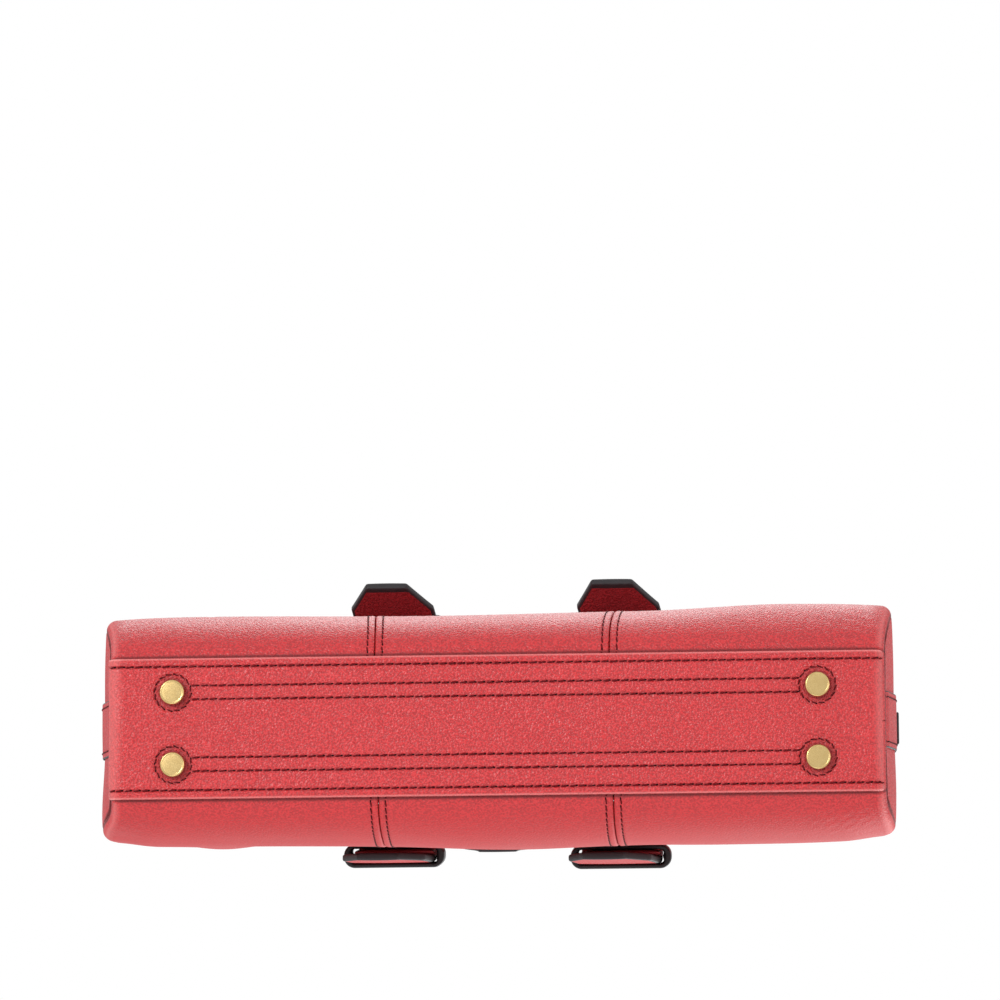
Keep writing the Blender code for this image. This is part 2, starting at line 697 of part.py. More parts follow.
def build_flap():
    half = FLAP_THICKNESS / 2
    outer, height = flap_pivot()
    pivot = (0, outer, height)
    depth = outer - half
    bend = (depth - FLAP_BEND, height + half)
    over = arc(bend, FLAP_BEND, 0, 90, 6)
    back = [(depth, height + CLEARANCE / 2)] + over
    front = [(-y, z) for y, z in over[::-1]]
    leg_heights = spread(BODY_HEIGHT - half, FLAP_END_HEIGHT + FLAP_TAPER, 6)
    off = 2 * CLEARANCE + half
    leg = [(-wall_depth(z) - off, z) for z in leg_heights + [FLAP_END_HEIGHT]]
    path = back + [(y, back[-1][1]) for y in spread(bend[0], -bend[0], 4)[1:-1]] + front + leg
    narrow = FLAP_WIDTH / 2 - FLAP_TIP_WIDTH / 2

    def point(share, step):
        y, z = path[step]
        wide = FLAP_WIDTH / 2
        if step == len(path) - 1:
            wide -= narrow
        return -share * wide, y, z

    rows = list(range(len(path)))
    sheet = grid_mesh("closing_flap", point, spread(-1, 1, 2), rows)
    flap = add_part("closing_flap", sheet, RED_LEATHER, pivot)
    thicken(flap, FLAP_THICKNESS, offset=0)

    slope = math.atan2(*section_normal(section_at(MAGNET_HEIGHT))[::-1])
    lie = Matrix.Rotation(math.pi / 2 - slope, 4, "X")
    inner_face = off - half
    plate_place = (0, -wall_depth(MAGNET_HEIGHT) - inner_face, MAGNET_HEIGHT)
    recess = cutter("plate_recess", PLATE_DIAMETER / 2 + CLEARANCE, -PLATE_THICKNESS, PLATE_THICKNESS, (0, 0))
    recess.matrix_world = Matrix.Translation(plate_place) @ lie
    cut(flap, recess)
    for name, wide, thick, shift, metal, origin in (
        ("flap_plate", PLATE_DIAMETER, PLATE_THICKNESS - 2 * CLEARANCE, 0, STEEL, pivot),
        ("wall_magnet", MAGNET_DIAMETER, MAGNET_THICKNESS, 1, STEEL, (0, 0, 0)),
    ):
        low, high = (CLEARANCE / 2, CLEARANCE / 2 + thick)
        if shift:
            low = -inner_face - LEATHER - CLEARANCE - thick
            high = low + thick
        mesh = turned_mesh(name, [(0, high), (wide / 2, high), (wide / 2, low), (0, low)])
        mesh.transform(Matrix.Translation(plate_place) @ lie)
        add_part(name, mesh, metal, origin)

    anchor_rows = spread(ANCHOR_BOTTOM, BODY_HEIGHT - CLEARANCE / 2, 4)

    def anchor_point(share, z):
        return -share * FLAP_WIDTH / 2, wall_depth(z) + CLEARANCE + half, z

    sheet = grid_mesh("flap_anchor", anchor_point, spread(-1, 1, 2), anchor_rows)
    anchor = add_part("flap_anchor", sheet, RED_LEATHER)
    thicken(anchor, FLAP_THICKNESS, offset=0)


def depth_middle():
    """Middle of the overall depth, between the faces of the front keepers and the lifted back tips."""
    tip_end = KEEPER_BOTTOM - TIP_LENGTH * math.cos(BACK_TIP_LIFT)
    back = strap_middle(tip_end, BACK_TIP_LIFT) + STRAP_THICKNESS / 2 * math.cos(BACK_TIP_LIFT)
    front = wall_depth(KEEPER_BOTTOM) + CLEARANCE + KEEPER_DEPTH
    return (back - front) / 2


clear_scene()
PARTS = new_collection("satchel")
CUTTERS = new_collection("cutters")
RED_LEATHER = finish("red leather", (0.58, 0.07, 0.075), 0.45)
PAINTED_EDGE = finish("painted leather edge", (0.045, 0.04, 0.042), 0.5)
BRASS = finish("pale brass", (0.70, 0.52, 0.24), 0.3, 1.0)
STEEL = finish("plated steel", (0.55, 0.55, 0.56), 0.35, 1.0)
TWILL = finish("tan cotton twill", (0.42, 0.30, 0.19), 0.9)
BOARD = finish("grey fibre board", (0.30, 0.29, 0.27), 0.9)
SHANK_CUTTERS = {
    (side_name, end_name): cutter(
        f"shank_hole_{side_name}_{end_name}",
        SHANK_DIAMETER / 2 + CLEARANCE,
        BASE_LEVEL - LEATHER,
        WASHER_LEVEL,
        (end * FOOT_SPACING_X / 2, side * FOOT_SPACING_Y / 2),
    )
    for side_name, side in SIDES.items()
    for end_name, end in ENDS.items()
}
build_walls()
build_base()
build_feet()
build_ends()
build_lining()
for side_name, side in SIDES.items():
    for end_name, end in ENDS.items():
        build_strap(side_name, side, end_name, end)
    build_handle(side_name, side)
build_flap()

# The frame's origin goes under the middle of the overall depth
MIDDLE = depth_middle()
for piece in list(PARTS.objects) + list(CUTTERS.objects):
    piece.location.y -= MIDDLE
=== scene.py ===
import bpy
import numpy as np
from mathutils import Matrix


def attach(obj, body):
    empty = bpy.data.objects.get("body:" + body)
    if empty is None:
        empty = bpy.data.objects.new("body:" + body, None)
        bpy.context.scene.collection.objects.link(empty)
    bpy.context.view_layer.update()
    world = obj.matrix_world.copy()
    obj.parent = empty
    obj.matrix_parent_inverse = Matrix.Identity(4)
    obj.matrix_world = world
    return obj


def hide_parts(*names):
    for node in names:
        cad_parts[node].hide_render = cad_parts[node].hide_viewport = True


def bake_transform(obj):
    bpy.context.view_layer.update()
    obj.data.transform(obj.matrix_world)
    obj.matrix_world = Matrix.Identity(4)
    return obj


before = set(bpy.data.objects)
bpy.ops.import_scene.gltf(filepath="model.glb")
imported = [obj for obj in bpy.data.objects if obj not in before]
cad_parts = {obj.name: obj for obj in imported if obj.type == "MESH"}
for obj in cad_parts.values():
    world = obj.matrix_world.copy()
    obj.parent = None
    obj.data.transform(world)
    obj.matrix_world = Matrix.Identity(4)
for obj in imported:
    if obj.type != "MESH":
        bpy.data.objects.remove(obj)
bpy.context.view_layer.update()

# Front and back walls: three panels each of soft, fine-pebbled calf leather, cut to shape and
# sewn edge to edge with the hems turned under. They turn in under the bag, swell out above the
# base, and sink a little higher up, where nothing but the next panel holds them.
HALF_LENGTH, END_ROLL, END_DRAW = 0.163, 0.004, 0.0018
LEATHER = 0.0018
BOTTOM, FULLEST, TOP = 0.0069, 0.055, 0.235
SEAM, SEAM_GAP = 0.050, 0.00015
TOP_ROW = 0.0035
BASE_HALF = 0.030
MAGNET_Z = 0.186
MIDDLE = np.array([0, 0.0054215, 0])
SIDES = {"front": -1, "back": 1}
ENDS = {"left": -1, "right": 1}


def smooth(low, high, value):
    """A share that rises from 0 at low to 1 at high and is level at both."""
    share = np.clip((value - low) / (high - low), 0, 1)
    return share * share * (3 - 2 * share)


def bell(value, middle, width):
    """A bell curve: 1 at its middle, and down to about a third a width away on both sides."""
    return np.exp(-(((value - middle) / width) ** 2))


def joined(*values):
    """Points from their coordinates, each spread to the same grid."""
    return np.stack(np.broadcast_arrays(*values), -1)


def body_section(t):
    """Half-depth and height of the body: flat to t = 1, a quarter ellipse to t = 2, then up to
    the top edge at t = 3, drawing in with the 1.7th power of the rise."""
    turn = np.clip(t - 1, 0, 1) * np.pi / 2
    rise = np.clip(t - 2, 0, 1)
    depth = 0.026 * np.clip(t, 0, 1) + 0.025 * np.sin(turn) - 0.011 * rise**1.7
    return depth, BOTTOM + (FULLEST - BOTTOM) * (1 - np.cos(turn)) + (TOP - FULLEST) * rise


def section_out(t):
    """The section's outward direction, across and up: a small step along it, turned by 90 degrees."""
    low = body_section(np.maximum(t - 0.001, 0))
    high = body_section(np.minimum(t + 0.001, 3))
    across, up = high[1] - low[1], low[0] - high[0]
    length = np.hypot(across, up)
    return across / length, up / length


def section_at(z):
    """The section's t at a height above the fullest one."""
    return 2 + (z - FULLEST) / (TOP - FULLEST)


def top_gap(t):
    """How far the section lies below the top edge, for a t above the fullest height."""
    return (3 - t) * (TOP - FULLEST)


def end_swell(z):
    """How far the ends stand out past the bottom's: 6 mm at the fullest height, 2.5 mm at the top."""
    return 0.006 * smooth(BOTTOM, FULLEST, z) - 0.0035 * smooth(FULLEST, TOP, z)


def wall_bulge(x, z, side):
    """How far the worn body stands out of its cut shape round the fullest height: the front sinks by
    about 3 mm at both ends, keeps its shape at its middle and sinks behind its right strap, and the
    back stands out by 2 mm at its left end and sinks by 1 mm right of its middle."""
    low = smooth(0.008, 0.04, z) * (1 - smooth(0.10, 0.15, z))
    if side > 0:
        return low * (0.0022 * smooth(0.06, 0.12, -x) - 0.0011 * bell(x, 0.03, 0.065))
    front = -0.0021 + 0.0009 * smooth(0.02, 0.10, -x) + 0.0022 * bell(x, -0.008, 0.05)
    front = front - 0.0013 * smooth(0.143, 0.16, np.abs(x))
    sunk = 0.0016 * bell(x, 0.052, 0.035) * smooth(0.10, 0.15, z) * (1 - smooth(0.18, 0.215, z))
    return low * front - sunk


def worn_end(x, z):
    """How much further out the ends lie than they were cut: at the base 2.8 mm at the left and 1.2 mm
    at the right, and less than half a millimetre at the fullest height."""
    full = smooth(BOTTOM, FULLEST, z)
    held = full * (1 - smooth(0.08, 0.16, z))
    left = 0.0028 * (1 - full) - 0.0003 * held
    return np.where(x < 0, left, 0.0012 * (1 - full) + 0.0004 * held)


def edge_reach(x, z, side):
    """How much further out still the ends' own edges lie, most at the front right and least at the back
    right, fading out towards the base and above the fullest height."""
    share = smooth(BOTTOM, 0.03, z) * (1 - smooth(0.08, 0.16, z))
    left, right = (0.0017, 0.0027) if side < 0 else (0.0012, 0.0007)
    return np.where(x < 0, left, right) * share


def seam_shift(x, z, side):
    """How far the seams were sewn off their lines: about 1 mm to the right at the back, and at the
    front, above the base, towards each other by 1 mm at the left and 1.6 mm at the right."""
    rise = smooth(BOTTOM, 0.05, z) * (1 - smooth(0.12, 0.20, z))
    left, right = (0.0011, 0.0010) if side > 0 else (0.0010 * rise, -0.0016 * rise)
    return left * bell(x, -SEAM, 0.03) + right * bell(x, SEAM, 0.03)


def end_inset(x):
    """How far a wall's rolled end falls back: a quarter circle over its last 4 mm."""
    past = np.clip(np.abs(x) - (HALF_LENGTH - END_ROLL), 0, END_ROLL)
    return END_ROLL - np.sqrt(END_ROLL**2 - past**2)


def wall_point(x, t, side, depth):
    """A point at a depth inside the wall: the section at t with its bulge, drawn in and rolled over at
    the ends of the bag and stretched along it by the swell."""
    across, up = section_out(t)
    y, z = body_section(t)
    inset = depth + end_inset(x) + END_DRAW * (np.abs(x) / HALF_LENGTH) ** 10 * np.abs(across)
    along = x * (1 + end_swell(z) / HALF_LENGTH) + seam_shift(x, z, side)
    worn = worn_end(x, z) + edge_reach(x, z, side)
    along = along + np.sign(x) * worn * (np.abs(x) / HALF_LENGTH) ** 4
    y = y + wall_bulge(x, z, side)
    return joined(along, side * (y - inset * across), z - inset * up)


def wall_slack(x, t, side):
    """How far the leather lies off its cut shape: slow waves and a hollow where the wall is free, but
    not over the magnet, short creases at the lower corners and two small folds at the back near the
    right end."""
    z = body_section(t)[1]
    magnet = (side < 0) * bell(x, 0, 0.022) * bell(z, MAGNET_Z, 0.022)
    free = smooth(0.05, 0.12, z) * (1 - 0.75 * smooth(0.18, 0.232, z)) * (1 - magnet)
    waves = np.sin(44 * x + 31 * z + 1.7 * side) + 0.8 * np.sin(71 * x - 47 * z + 0.6 * side)
    waves = waves + 0.6 * np.sin(23 * x + 90 * z - 2.1 * side)
    hollow = 0.00165 * bell(z, 0.15, 0.05) * (0.4 + np.cos(np.pi * x / SEAM) ** 2)
    corner = bell(np.abs(x), 0.146, 0.013) * bell(z, 0.02, 0.013)
    lines = np.sin(2 * np.pi * (0.75 * np.abs(x) + t * 0.031 + 0.0006 * np.sin(900 * x)) / 0.0036)
    folds = bell(x - 0.1 * (z - 0.04), 0.1185, 0.0011) * bell(z, 0.043, 0.009)
    folds = folds + 0.7 * bell(x - 0.14 * (z - 0.04), 0.1155, 0.0009) * bell(z, 0.036, 0.006)
    return free * (0.00052 * waves - hollow) + 0.00012 * corner * lines - 0.00034 * (side > 0) * folds


def rounded_rim(gap, radius):
    """How far a face falls back near an edge that is rounded to a radius."""
    near = np.clip(radius - gap, 0, radius)
    return radius - np.sqrt(radius**2 - near**2)


def turned_edge(gap):
    """Height of a hem by the distance to its seam: a 0.7 mm roll, a low ridge over the turned-in
    leather and a groove under the stitches 3 mm in."""
    ridge = 0.00016 * smooth(0, 0.001, gap) * (1 - smooth(0.0034, 0.0048, gap))
    return ridge - rounded_rim(gap, 0.0007) - 0.0003 * bell(gap, 0.003, 0.0006)


def wall_painted_highlight_and_shade(x, t):
    """Painted highlight (above 0) along the rolled ends, and painted shade (below 0) down their
    seams and in the crease beside the base panel."""
    inset = end_inset(x)
    rolled = 0.3 * (inset > 0) * bell(inset, 0.0008, 0.0007) - 0.85 * smooth(0.0026, 0.0038, inset)
    return rolled - 0.8 * bell(body_section(t)[0], BASE_HALF + 0.0005, 0.0008)


def skin(name, points, quads, materials, worn=None, painted_highlight_and_shade=None):
    """One object at the origin from points and quads; worn gives each quad's material and the last
    argument each point's painted highlight (above 0) or painted shade (below 0). The points are
    measured from the body's middle plane, which lies in front of the frame's origin."""
    mesh = bpy.data.meshes.new(name)
    points = np.ascontiguousarray(points.reshape(-1, 3) - MIDDLE, np.float32)
    quads = np.ascontiguousarray(quads.reshape(-1, 4), np.int32)
    mesh.vertices.add(len(points))
    mesh.vertices.foreach_set("co", points.ravel())
    mesh.loops.add(quads.size)
    mesh.loops.foreach_set("vertex_index", quads.ravel())
    mesh.polygons.add(len(quads))
    mesh.polygons.foreach_set("loop_start", np.arange(0, quads.size, 4, dtype=np.int32))
    for material in materials:
        mesh.materials.append(material)
    if worn is not None:
        mesh.polygons.foreach_set("material_index", np.ascontiguousarray(worn.ravel(), np.int32))
    if painted_highlight_and_shade is not None:
        rub = mesh.attributes.new("painted_highlight_and_shade", "FLOAT", "POINT")
        rub.data.foreach_set("value", np.ascontiguousarray(painted_highlight_and_shade.ravel(), np.float32))
    mesh.update(calc_edges=True)
    mesh.validate()
    mesh.shade_smooth()
    mesh.set_sharp_from_angle(angle=np.radians(50))
    piece = bpy.data.objects.new(name, mesh)
    bpy.context.scene.collection.objects.link(piece)
    return piece


def cut_piece(name, face, back, materials, paint=(0, 0), painted_highlight_and_shade=None):
    """A closed piece of sheet from a grid of points on each side, joined round the rim. The rim and
    the outermost rows and columns of cells on both sides, as many as paint says, take the second
    material, and a third one is the back's."""
    rows, columns = face.shape[:2]
    count = rows * columns
    number = np.arange(count).reshape(rows, columns)
    cells = joined(number[:-1, :-1], number[:-1, 1:], number[1:, 1:], number[1:, :-1])
    rim = np.concatenate([number[0], number[1:, -1], number[-1, -2::-1], number[-2:0:-1, 0]])
    after = np.roll(rim, -1)
    sides = [cells.reshape(-1, 4), cells.reshape(-1, 4)[:, ::-1] + count]
    quads = np.concatenate([*sides, joined(after, rim, rim + count, after + count)])
    tone = np.zeros(cells.shape[:2], int)
    if paint[0]:
        tone[: paint[0]] = tone[-paint[0] :] = 1
        tone[:, : paint[1]] = tone[:, -paint[1] :] = 1
    under = np.where(tone == 0, 2 * (len(materials) > 2), tone)
    worn = np.concatenate([tone.ravel(), under.ravel(), np.full(len(rim), min(paint[0], 1))])
    turn = np.cross(face[1:, :-1] - face[:-1, :-1], face[:-1, 1:] - face[:-1, :-1])
    if np.sum(turn * (face - back)[:-1, :-1]) > 0:
        quads = quads[:, ::-1]
    if painted_highlight_and_shade is not None:
        painted_highlight_and_shade = np.concatenate([painted_highlight_and_shade.ravel(), 0 * painted_highlight_and_shade.ravel()])
    return skin(name, np.stack([face, back]), quads, materials, worn, painted_highlight_and_shade)


def fit(piece, node, body="bag"):
    """Puts a piece in the place of a CAD node, whose part it hides, on a body."""
    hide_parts(node)
    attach(piece, body)


def linear(code):
    """An sRGB hex colour as linear red, green, blue and alpha."""
    value = np.array([int(code[i : i + 2], 16) / 255 for i in (1, 3, 5)])
    value = np.where(value <= 0.04045, value / 12.92, ((value + 0.055) / 1.055) ** 2.4)
    return (*value.tolist(), 1.0)


def feed(node, sockets):
    """Links each named socket of a node to an output, or sets it to a value or an sRGB hex colour."""
    for key, source in sockets.items():
        if isinstance(source, bpy.types.NodeSocket):
            node.id_data.links.new(source, node.inputs[key])
        else:
            node.inputs[key].default_value = linear(source) if isinstance(source, str) else source


def add_node(tree, kind, sockets=None, output=0, **settings):
    """Adds a shader node with its settings and sockets, and gives back one of its outputs."""
    node = tree.nodes.new("ShaderNode" + kind)
    for key, value in settings.items():
        setattr(node, key, value)
    feed(node, sockets or {})
    return node.outputs[output]


def new_material(name):
    """A material and its tree, principled shader and object coordinates."""
    material = bpy.data.materials.new(name)
    material.use_nodes = True
    tree = material.node_tree
    return material, tree, tree.nodes["Principled BSDF"], add_node(tree, "TexCoord", None, "Object")


def calf_leather(name, light, dark, crease, grain=0.0013):
    """Drum-dyed calf, milled to a fine pebble: rounded grains about 1.3 mm across with darker creases,
    slow changes of tone and a soft satin finish, duller at the front, where it is rubbed in carrying.
    Each piece's points carry painted highlight, which makes some rims paler, and painted shade, which makes
    seams, creases and hollows darker and duller."""
    material, tree, shader, place = new_material(name)
    drift = add_node(tree, "TexNoise", {"Vector": place, "Scale": 1 / 0.045, "Detail": 3.0})
    warp = add_node(tree, "TexNoise", {"Vector": place, "Scale": 1 / 0.004, "Detail": 2.0}, "Color")
    bent = add_node(tree, "VectorMath", {0: warp, "Scale": 0.0012}, operation="SCALE")
    moved = add_node(tree, "VectorMath", {0: place, 1: bent}, operation="ADD")
    cell = add_node(tree, "TexVoronoi", {"Vector": moved, "Scale": 1 / grain}, feature="DISTANCE_TO_EDGE")
    pebble = add_node(tree, "MapRange", {"Value": cell, "From Max": 0.28}, interpolation_type="SMOOTHSTEP")
    swells = add_node(tree, "TexNoise", {"Vector": moved, "Scale": 1 / 0.0009, "Detail": 0.0})
    along = add_node(tree, "SeparateXYZ", {0: place}, "X")
    across = along.node.outputs["Y"]
    stretch = {"Value": across, "From Min": -0.052, "From Max": -0.036, "To Min": 0.3}
    stretch = add_node(tree, "MapRange", stretch)

    tone = add_node(tree, "Mix", {0: drift, 6: dark, 7: light}, 2, data_type="RGBA")
    hollow = {"Value": swells, "From Min": 0.40, "From Max": 0.60, "To Min": 0.52, "To Max": 0.0}
    hollow = add_node(tree, "MapRange", hollow)
    depth = add_node(tree, "Math", {0: hollow, 1: stretch}, operation="MULTIPLY")
    grained = add_node(tree, "Mix", {0: depth, 6: tone, 7: crease}, 2, data_type="RGBA")
    # Painted highlight above 0 and painted shade below 0, carried by each piece's points: mixed towards a
    # pale pink and a near-black red.
    painted_highlight_and_shade = add_node(tree, "Attribute", None, "Fac", attribute_name="painted_highlight_and_shade")
    highlight_share = add_node(tree, "MapRange", {"Value": painted_highlight_and_shade})
    shade_share = add_node(tree, "MapRange", {"Value": painted_highlight_and_shade, "From Max": -1.0})
    painted_highlight = add_node(tree, "Mix", {0: highlight_share, 6: grained, 7: "#F08C8A"}, 2, data_type="RGBA")
    colour = add_node(tree, "Mix", {0: shade_share, 6: painted_highlight, 7: "#4A090E"}, 2, data_type="RGBA")

    satin = {"Value": drift, "From Min": 0.3, "From Max": 0.7, "To Min": 0.33, "To Max": 0.40}
    satin = add_node(tree, "MapRange", satin)
    dull_front = {"Value": across, "From Min": -0.05, "From Max": -0.03, "To Min": 0.28, "To Max": 0.0}
    dull_front = add_node(tree, "MapRange", dull_front)
    far = add_node(tree, "Math", {0: along}, operation="ABSOLUTE")
    dull_end = {"Value": far, "From Min": 0.160, "From Max": 0.167, "To Max": 0.25}
    dull_end = add_node(tree, "MapRange", dull_end)
    dull_side = add_node(tree, "Math", {0: dull_front, 1: dull_end}, operation="MAXIMUM")
    # The finish is duller by half the painted shade's share.
    dull_in_shade = add_node(tree, "Math", {0: shade_share, 1: 0.5}, operation="MULTIPLY")
    dull = add_node(tree, "Math", {0: dull_side, 1: dull_in_shade}, operation="MAXIMUM")
    gloss = add_node(tree, "Math", {0: satin, 1: dull}, operation="ADD")
    relief = add_node(tree, "Math", {0: pebble, 1: 0.22, 2: swells}, operation="MULTIPLY_ADD")
    bump = add_node(tree, "Bump", {"Height": relief, "Strength": stretch, "Distance": 0.0005})
    feed(shader, {"Base Color": colour, "Roughness": gloss, "Normal": bump, "IOR": 1.5})
    return material


RED_LEATHER = calf_leather("calf leather, drum-dyed red", "#C92B2F", "#BF252A", "#801219")
hem = np.array([0, 0.15, 0.35, 0.6, 1.0, 1.4, 1.8, 2.2, 2.6, 3.0, 3.4, 3.8, 4.4, 5.2]) / 1000
rim_gaps = np.array([5.2, 4.4, 3.9, 3.5, 3.1, 2.6, 2.0, 1.5, 1.1, 0.8, 0.5, 0.25, 0.1, 0.0]) / 1000
rim_rows = section_at(TOP - rim_gaps)
wall_rows = np.concatenate(
    [
        np.linspace(0.0058, 0.9, 4),
        np.linspace(1, 1.12, 8),
        np.linspace(1.12, 1.26, 16)[1:],
        np.linspace(1.26, 2, 44)[1:],
        np.linspace(2, 2.97, 132)[1:],
        rim_rows,
    ]
)
half_center = SEAM - SEAM_GAP - hem[::-1]
center = np.concatenate([-half_center[::-1], np.linspace(-SEAM + 0.0065, SEAM - 0.0065, 72), half_center])
roll = HALF_LENGTH - END_ROLL + END_ROLL * np.sin(np.radians(np.linspace(6, 90, 15)))
flat = np.linspace(SEAM + 0.0065, HALF_LENGTH - END_ROLL, 84)
outer = np.concatenate([SEAM + SEAM_GAP + hem, flat, roll])
for side_name, side in SIDES.items():
    for span, columns in {"left": -outer[::-1], "center": center, "right": outer}.items():
        x, t = np.meshgrid(columns, wall_rows)
        gap = np.maximum(np.abs(np.abs(x) - SEAM) - SEAM_GAP, 0)
        slack = wall_slack(x, t, side)
        dip = rounded_rim(top_gap(t), 0.0008)
        groove = 0.0002 * bell(top_gap(t), TOP_ROW, 0.0005)
        face = wall_point(x, t, side, dip + groove - slack - turned_edge(gap))
        back = wall_point(x, t, side, LEATHER - dip - slack)
        wall = cut_piece(f"{side_name}_wall_{span}", face, back, [RED_LEATHER], painted_highlight_and_shade=wall_painted_highlight_and_shade(x, t))
        fit(wall, f"{side_name}_panel_{span}")

# Seam stitching of the walls: one row of dark red bonded thread on each side of every upright
# seam, and one row along the top edge that holds the facing inside. Each stitch is a short arch
# of thread that dips into its needle holes; its end at one hole is near black, painted shade of that hole.
SEAM_ROW, STITCH_SINK = 0.00315, 0.0001


def unit(vectors):
    """Vectors scaled to a length of 1."""
    return vectors / np.linalg.norm(vectors, axis=-1, keepdims=True)


def path_run(path):
    """The length along a path at each of its points: a running sum of its steps."""
    return np.concatenate([[0], np.cumsum(np.linalg.norm(np.diff(path, axis=0), axis=1))])


def path_at(path, run, where):
    """A path's values at some lengths along it, straight between its points."""
    return np.stack([np.interp(where, run, column) for column in path.T], -1)


def stitches(path, out, pitch=0.0038, thread=0.00027, lean=-7):
    """Points of one row of stitches on a path with outward directions: at even steps along the
    path's length, a tube of five rings and six sides: a flat wide ring at the needle hole, then an
    arch of thread that slants by the lean in degrees and stops short of the next hole."""
    run = path_run(path)
    count = max(int(round(run[-1] / pitch)), 1)
    length = run[-1] / count
    at = (np.arange(count) + 0.5) * length
    ahead, behind = np.minimum(at + pitch / 4, run[-1]), np.maximum(at - pitch / 4, 0)
    along = unit(path_at(path, run, ahead) - path_at(path, run, behind))
    up = path_at(out, run, at)
    up = unit(up - along * np.sum(along * up, axis=1, keepdims=True))
    beside = np.cross(along, up)
    slant = np.radians(lean)
    slanted = along * np.cos(slant) + beside * np.sin(slant)
    beside = beside * np.cos(slant) - along * np.sin(slant)
    turn = np.arange(6) * np.pi / 3
    width = thread * np.array([0.9, 1.25, 1.15, 1.1, 0.8])[:, None]
    reach = length * np.array([-0.50, -0.41, -0.27, 0.10, 0.35])[:, None] + 0 * turn
    lift = 0.0002 * np.array([-0.6, -0.5, 0.2, 1.0, -0.1])[:, None] + 0.8 * width * np.sin(turn)
    shape = joined(reach, lift, width * np.cos(turn)).reshape(-1, 3)
    return path_at(path, run, at)[:, None] + shape @ np.stack([slanted, up, beside], 1)


def tube_quads(rings, sides, closed=False):
    """Quads of a tube of rings; a closed one joins its last ring to its first, an open one is capped."""
    number = np.arange(rings * sides).reshape(rings, sides)
    after = np.roll(number, -1, axis=1)
    if closed:
        ahead, ahead_after = np.roll(number, -1, axis=0), np.roll(after, -1, axis=0)
        return joined(number, after, ahead_after, ahead).reshape(-1, 4)
    tube = joined(number[:-1], after[:-1], after[1:], number[1:]).reshape(-1, 4)
    k = np.arange(sides // 2 - 1)
    disc = joined(k, k + 1, sides - 2 - k, sides - 1 - k)
    return np.concatenate([tube, disc[:, ::-1], disc + number[-1, 0]])


def bonded_thread(name, code):
    """Bonded nylon thread: three strands laid in a twist, with a low waxy shine. The twist is drawn
    at 0.5 mm, a little coarser than it is, to show at all."""
    material, tree, shader, place = new_material(name)
    twist = {"Vector": place, "Scale": 0.3142 / 0.0005, "Distortion": 1.0}
    lay = add_node(tree, "TexWave", twist, "Fac", bands_direction="DIAGONAL")
    bump = add_node(tree, "Bump", {"Height": lay, "Strength": 0.4, "Distance": 0.0001})
    groove = tuple(0.55 * v for v in linear(code)[:3]) + (1.0,)
    shade = add_node(tree, "Mix", {0: lay, 6: code, 7: groove}, 2, data_type="RGBA")
    feed(shader, {"Base Color": shade, "Normal": bump, "Roughness": 0.7, "Specular IOR Level": 0.1})
    return material


DARK_THREAD = (
    bonded_thread("bonded nylon thread, dark red", "#64131A"),
    # Near-black thread: painted shade where each stitch goes down its hole.
    bonded_thread("bonded nylon thread, painted shade of its needle hole", "#1C0204"),
)


def sewing(name, stitch_rows, body="bag"):
    """All the stitches of some rows as one object on a body, each with its first two rings and the
    end of them in a near-black thread that is painted shade of the needle hole."""
    points = np.concatenate(stitch_rows)
    quads = tube_quads(5, 6)[:, ::-1] + 30 * np.arange(len(points))[:, None, None]
    hole = np.isin(np.arange(28), [*range(12), 24, 25]).astype(int)
    thread = skin(name, points, quads, DARK_THREAD, np.tile(hole, len(points)))
    if body:
        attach(thread, body)
    return thread


def wall_out(t, side):
    """Outward directions of a wall along its section."""
    across, up = section_out(t)
    return joined(0 * t, side * across, up)


def wall_stitches(x, t, side):
    """A row of stitches sunk a little into a wall's outer face, slack and all."""
    return stitches(wall_point(x, t, side, STITCH_SINK - wall_slack(x, t, side)), wall_out(t, side))


seam_t = np.concatenate([np.linspace(1.04, 2, 90), np.linspace(2, 2.975, 200)[1:]])
top_x = np.linspace(-HALF_LENGTH + 0.005, HALF_LENGTH - 0.005, 300)
for side_name, side in SIDES.items():
    seam_rows = (-SEAM - SEAM_ROW, -SEAM + SEAM_ROW, SEAM - SEAM_ROW, SEAM + SEAM_ROW)
    sewn = [wall_stitches(x, seam_t, side) for x in seam_rows]
    sewn.append(wall_stitches(top_x, np.full_like(top_x, section_at(TOP - TOP_ROW)), side))
    sewing(f"{side_name}_wall_stitching", sewn)

# Base panel: one piece of the same leather laid over the bottom and up round both ends, sewn on
# along its long edges. Two more rows of stitching on each side run between the feet, and a ring
# of stitches sews the leather down round each foot.
BASE_LEVEL = 0.0048
BEND_START, BEND = 0.159, 0.0061
FOOT_X, FOOT_Y = 0.137, 0.01535
FOOT_RING = 0.0077
EDGE_ROW, OUTER_ROW, INNER_ROW = 0.0263, 0.0182, 0.0124


def base_point(s, y, depth):
    """A point of the base panel at a length s from its middle: level, then round a 6.1 mm bend at
    each end, and depth inside its outer face. Worn ends reach out further, more so at the front."""
    cover = 1 - depth / LEATHER
    s = s - (0.0029 - 0.01 * y) * smooth(0.145, 0.158, -s) * cover
    s = s + (0.0008 - 0.02 * y) * smooth(0.145, 0.158, s) * cover
    turn = np.maximum(np.abs(s) - BEND_START, 0) / BEND
    x = np.sign(s) * (np.minimum(np.abs(s), BEND_START) + (BEND - depth) * np.sin(turn))
    z = BASE_LEVEL + BEND - (BEND - depth) * np.cos(turn)
    return joined(x, y, z)


def base_groove(s, y, ring):
    """How far the base panel sinks under its stitches, as a share: narrow grooves along the rows and
    round the feet."""
    row = lambda place: bell(np.abs(y), place, 0.00055)
    between = 1 - smooth(0.1288, 0.1298, np.abs(s))
    rows = row(EDGE_ROW) + between * (row(OUTER_ROW) + row(INNER_ROW))
    return np.maximum(rows, bell(ring, FOOT_RING, 0.00055))


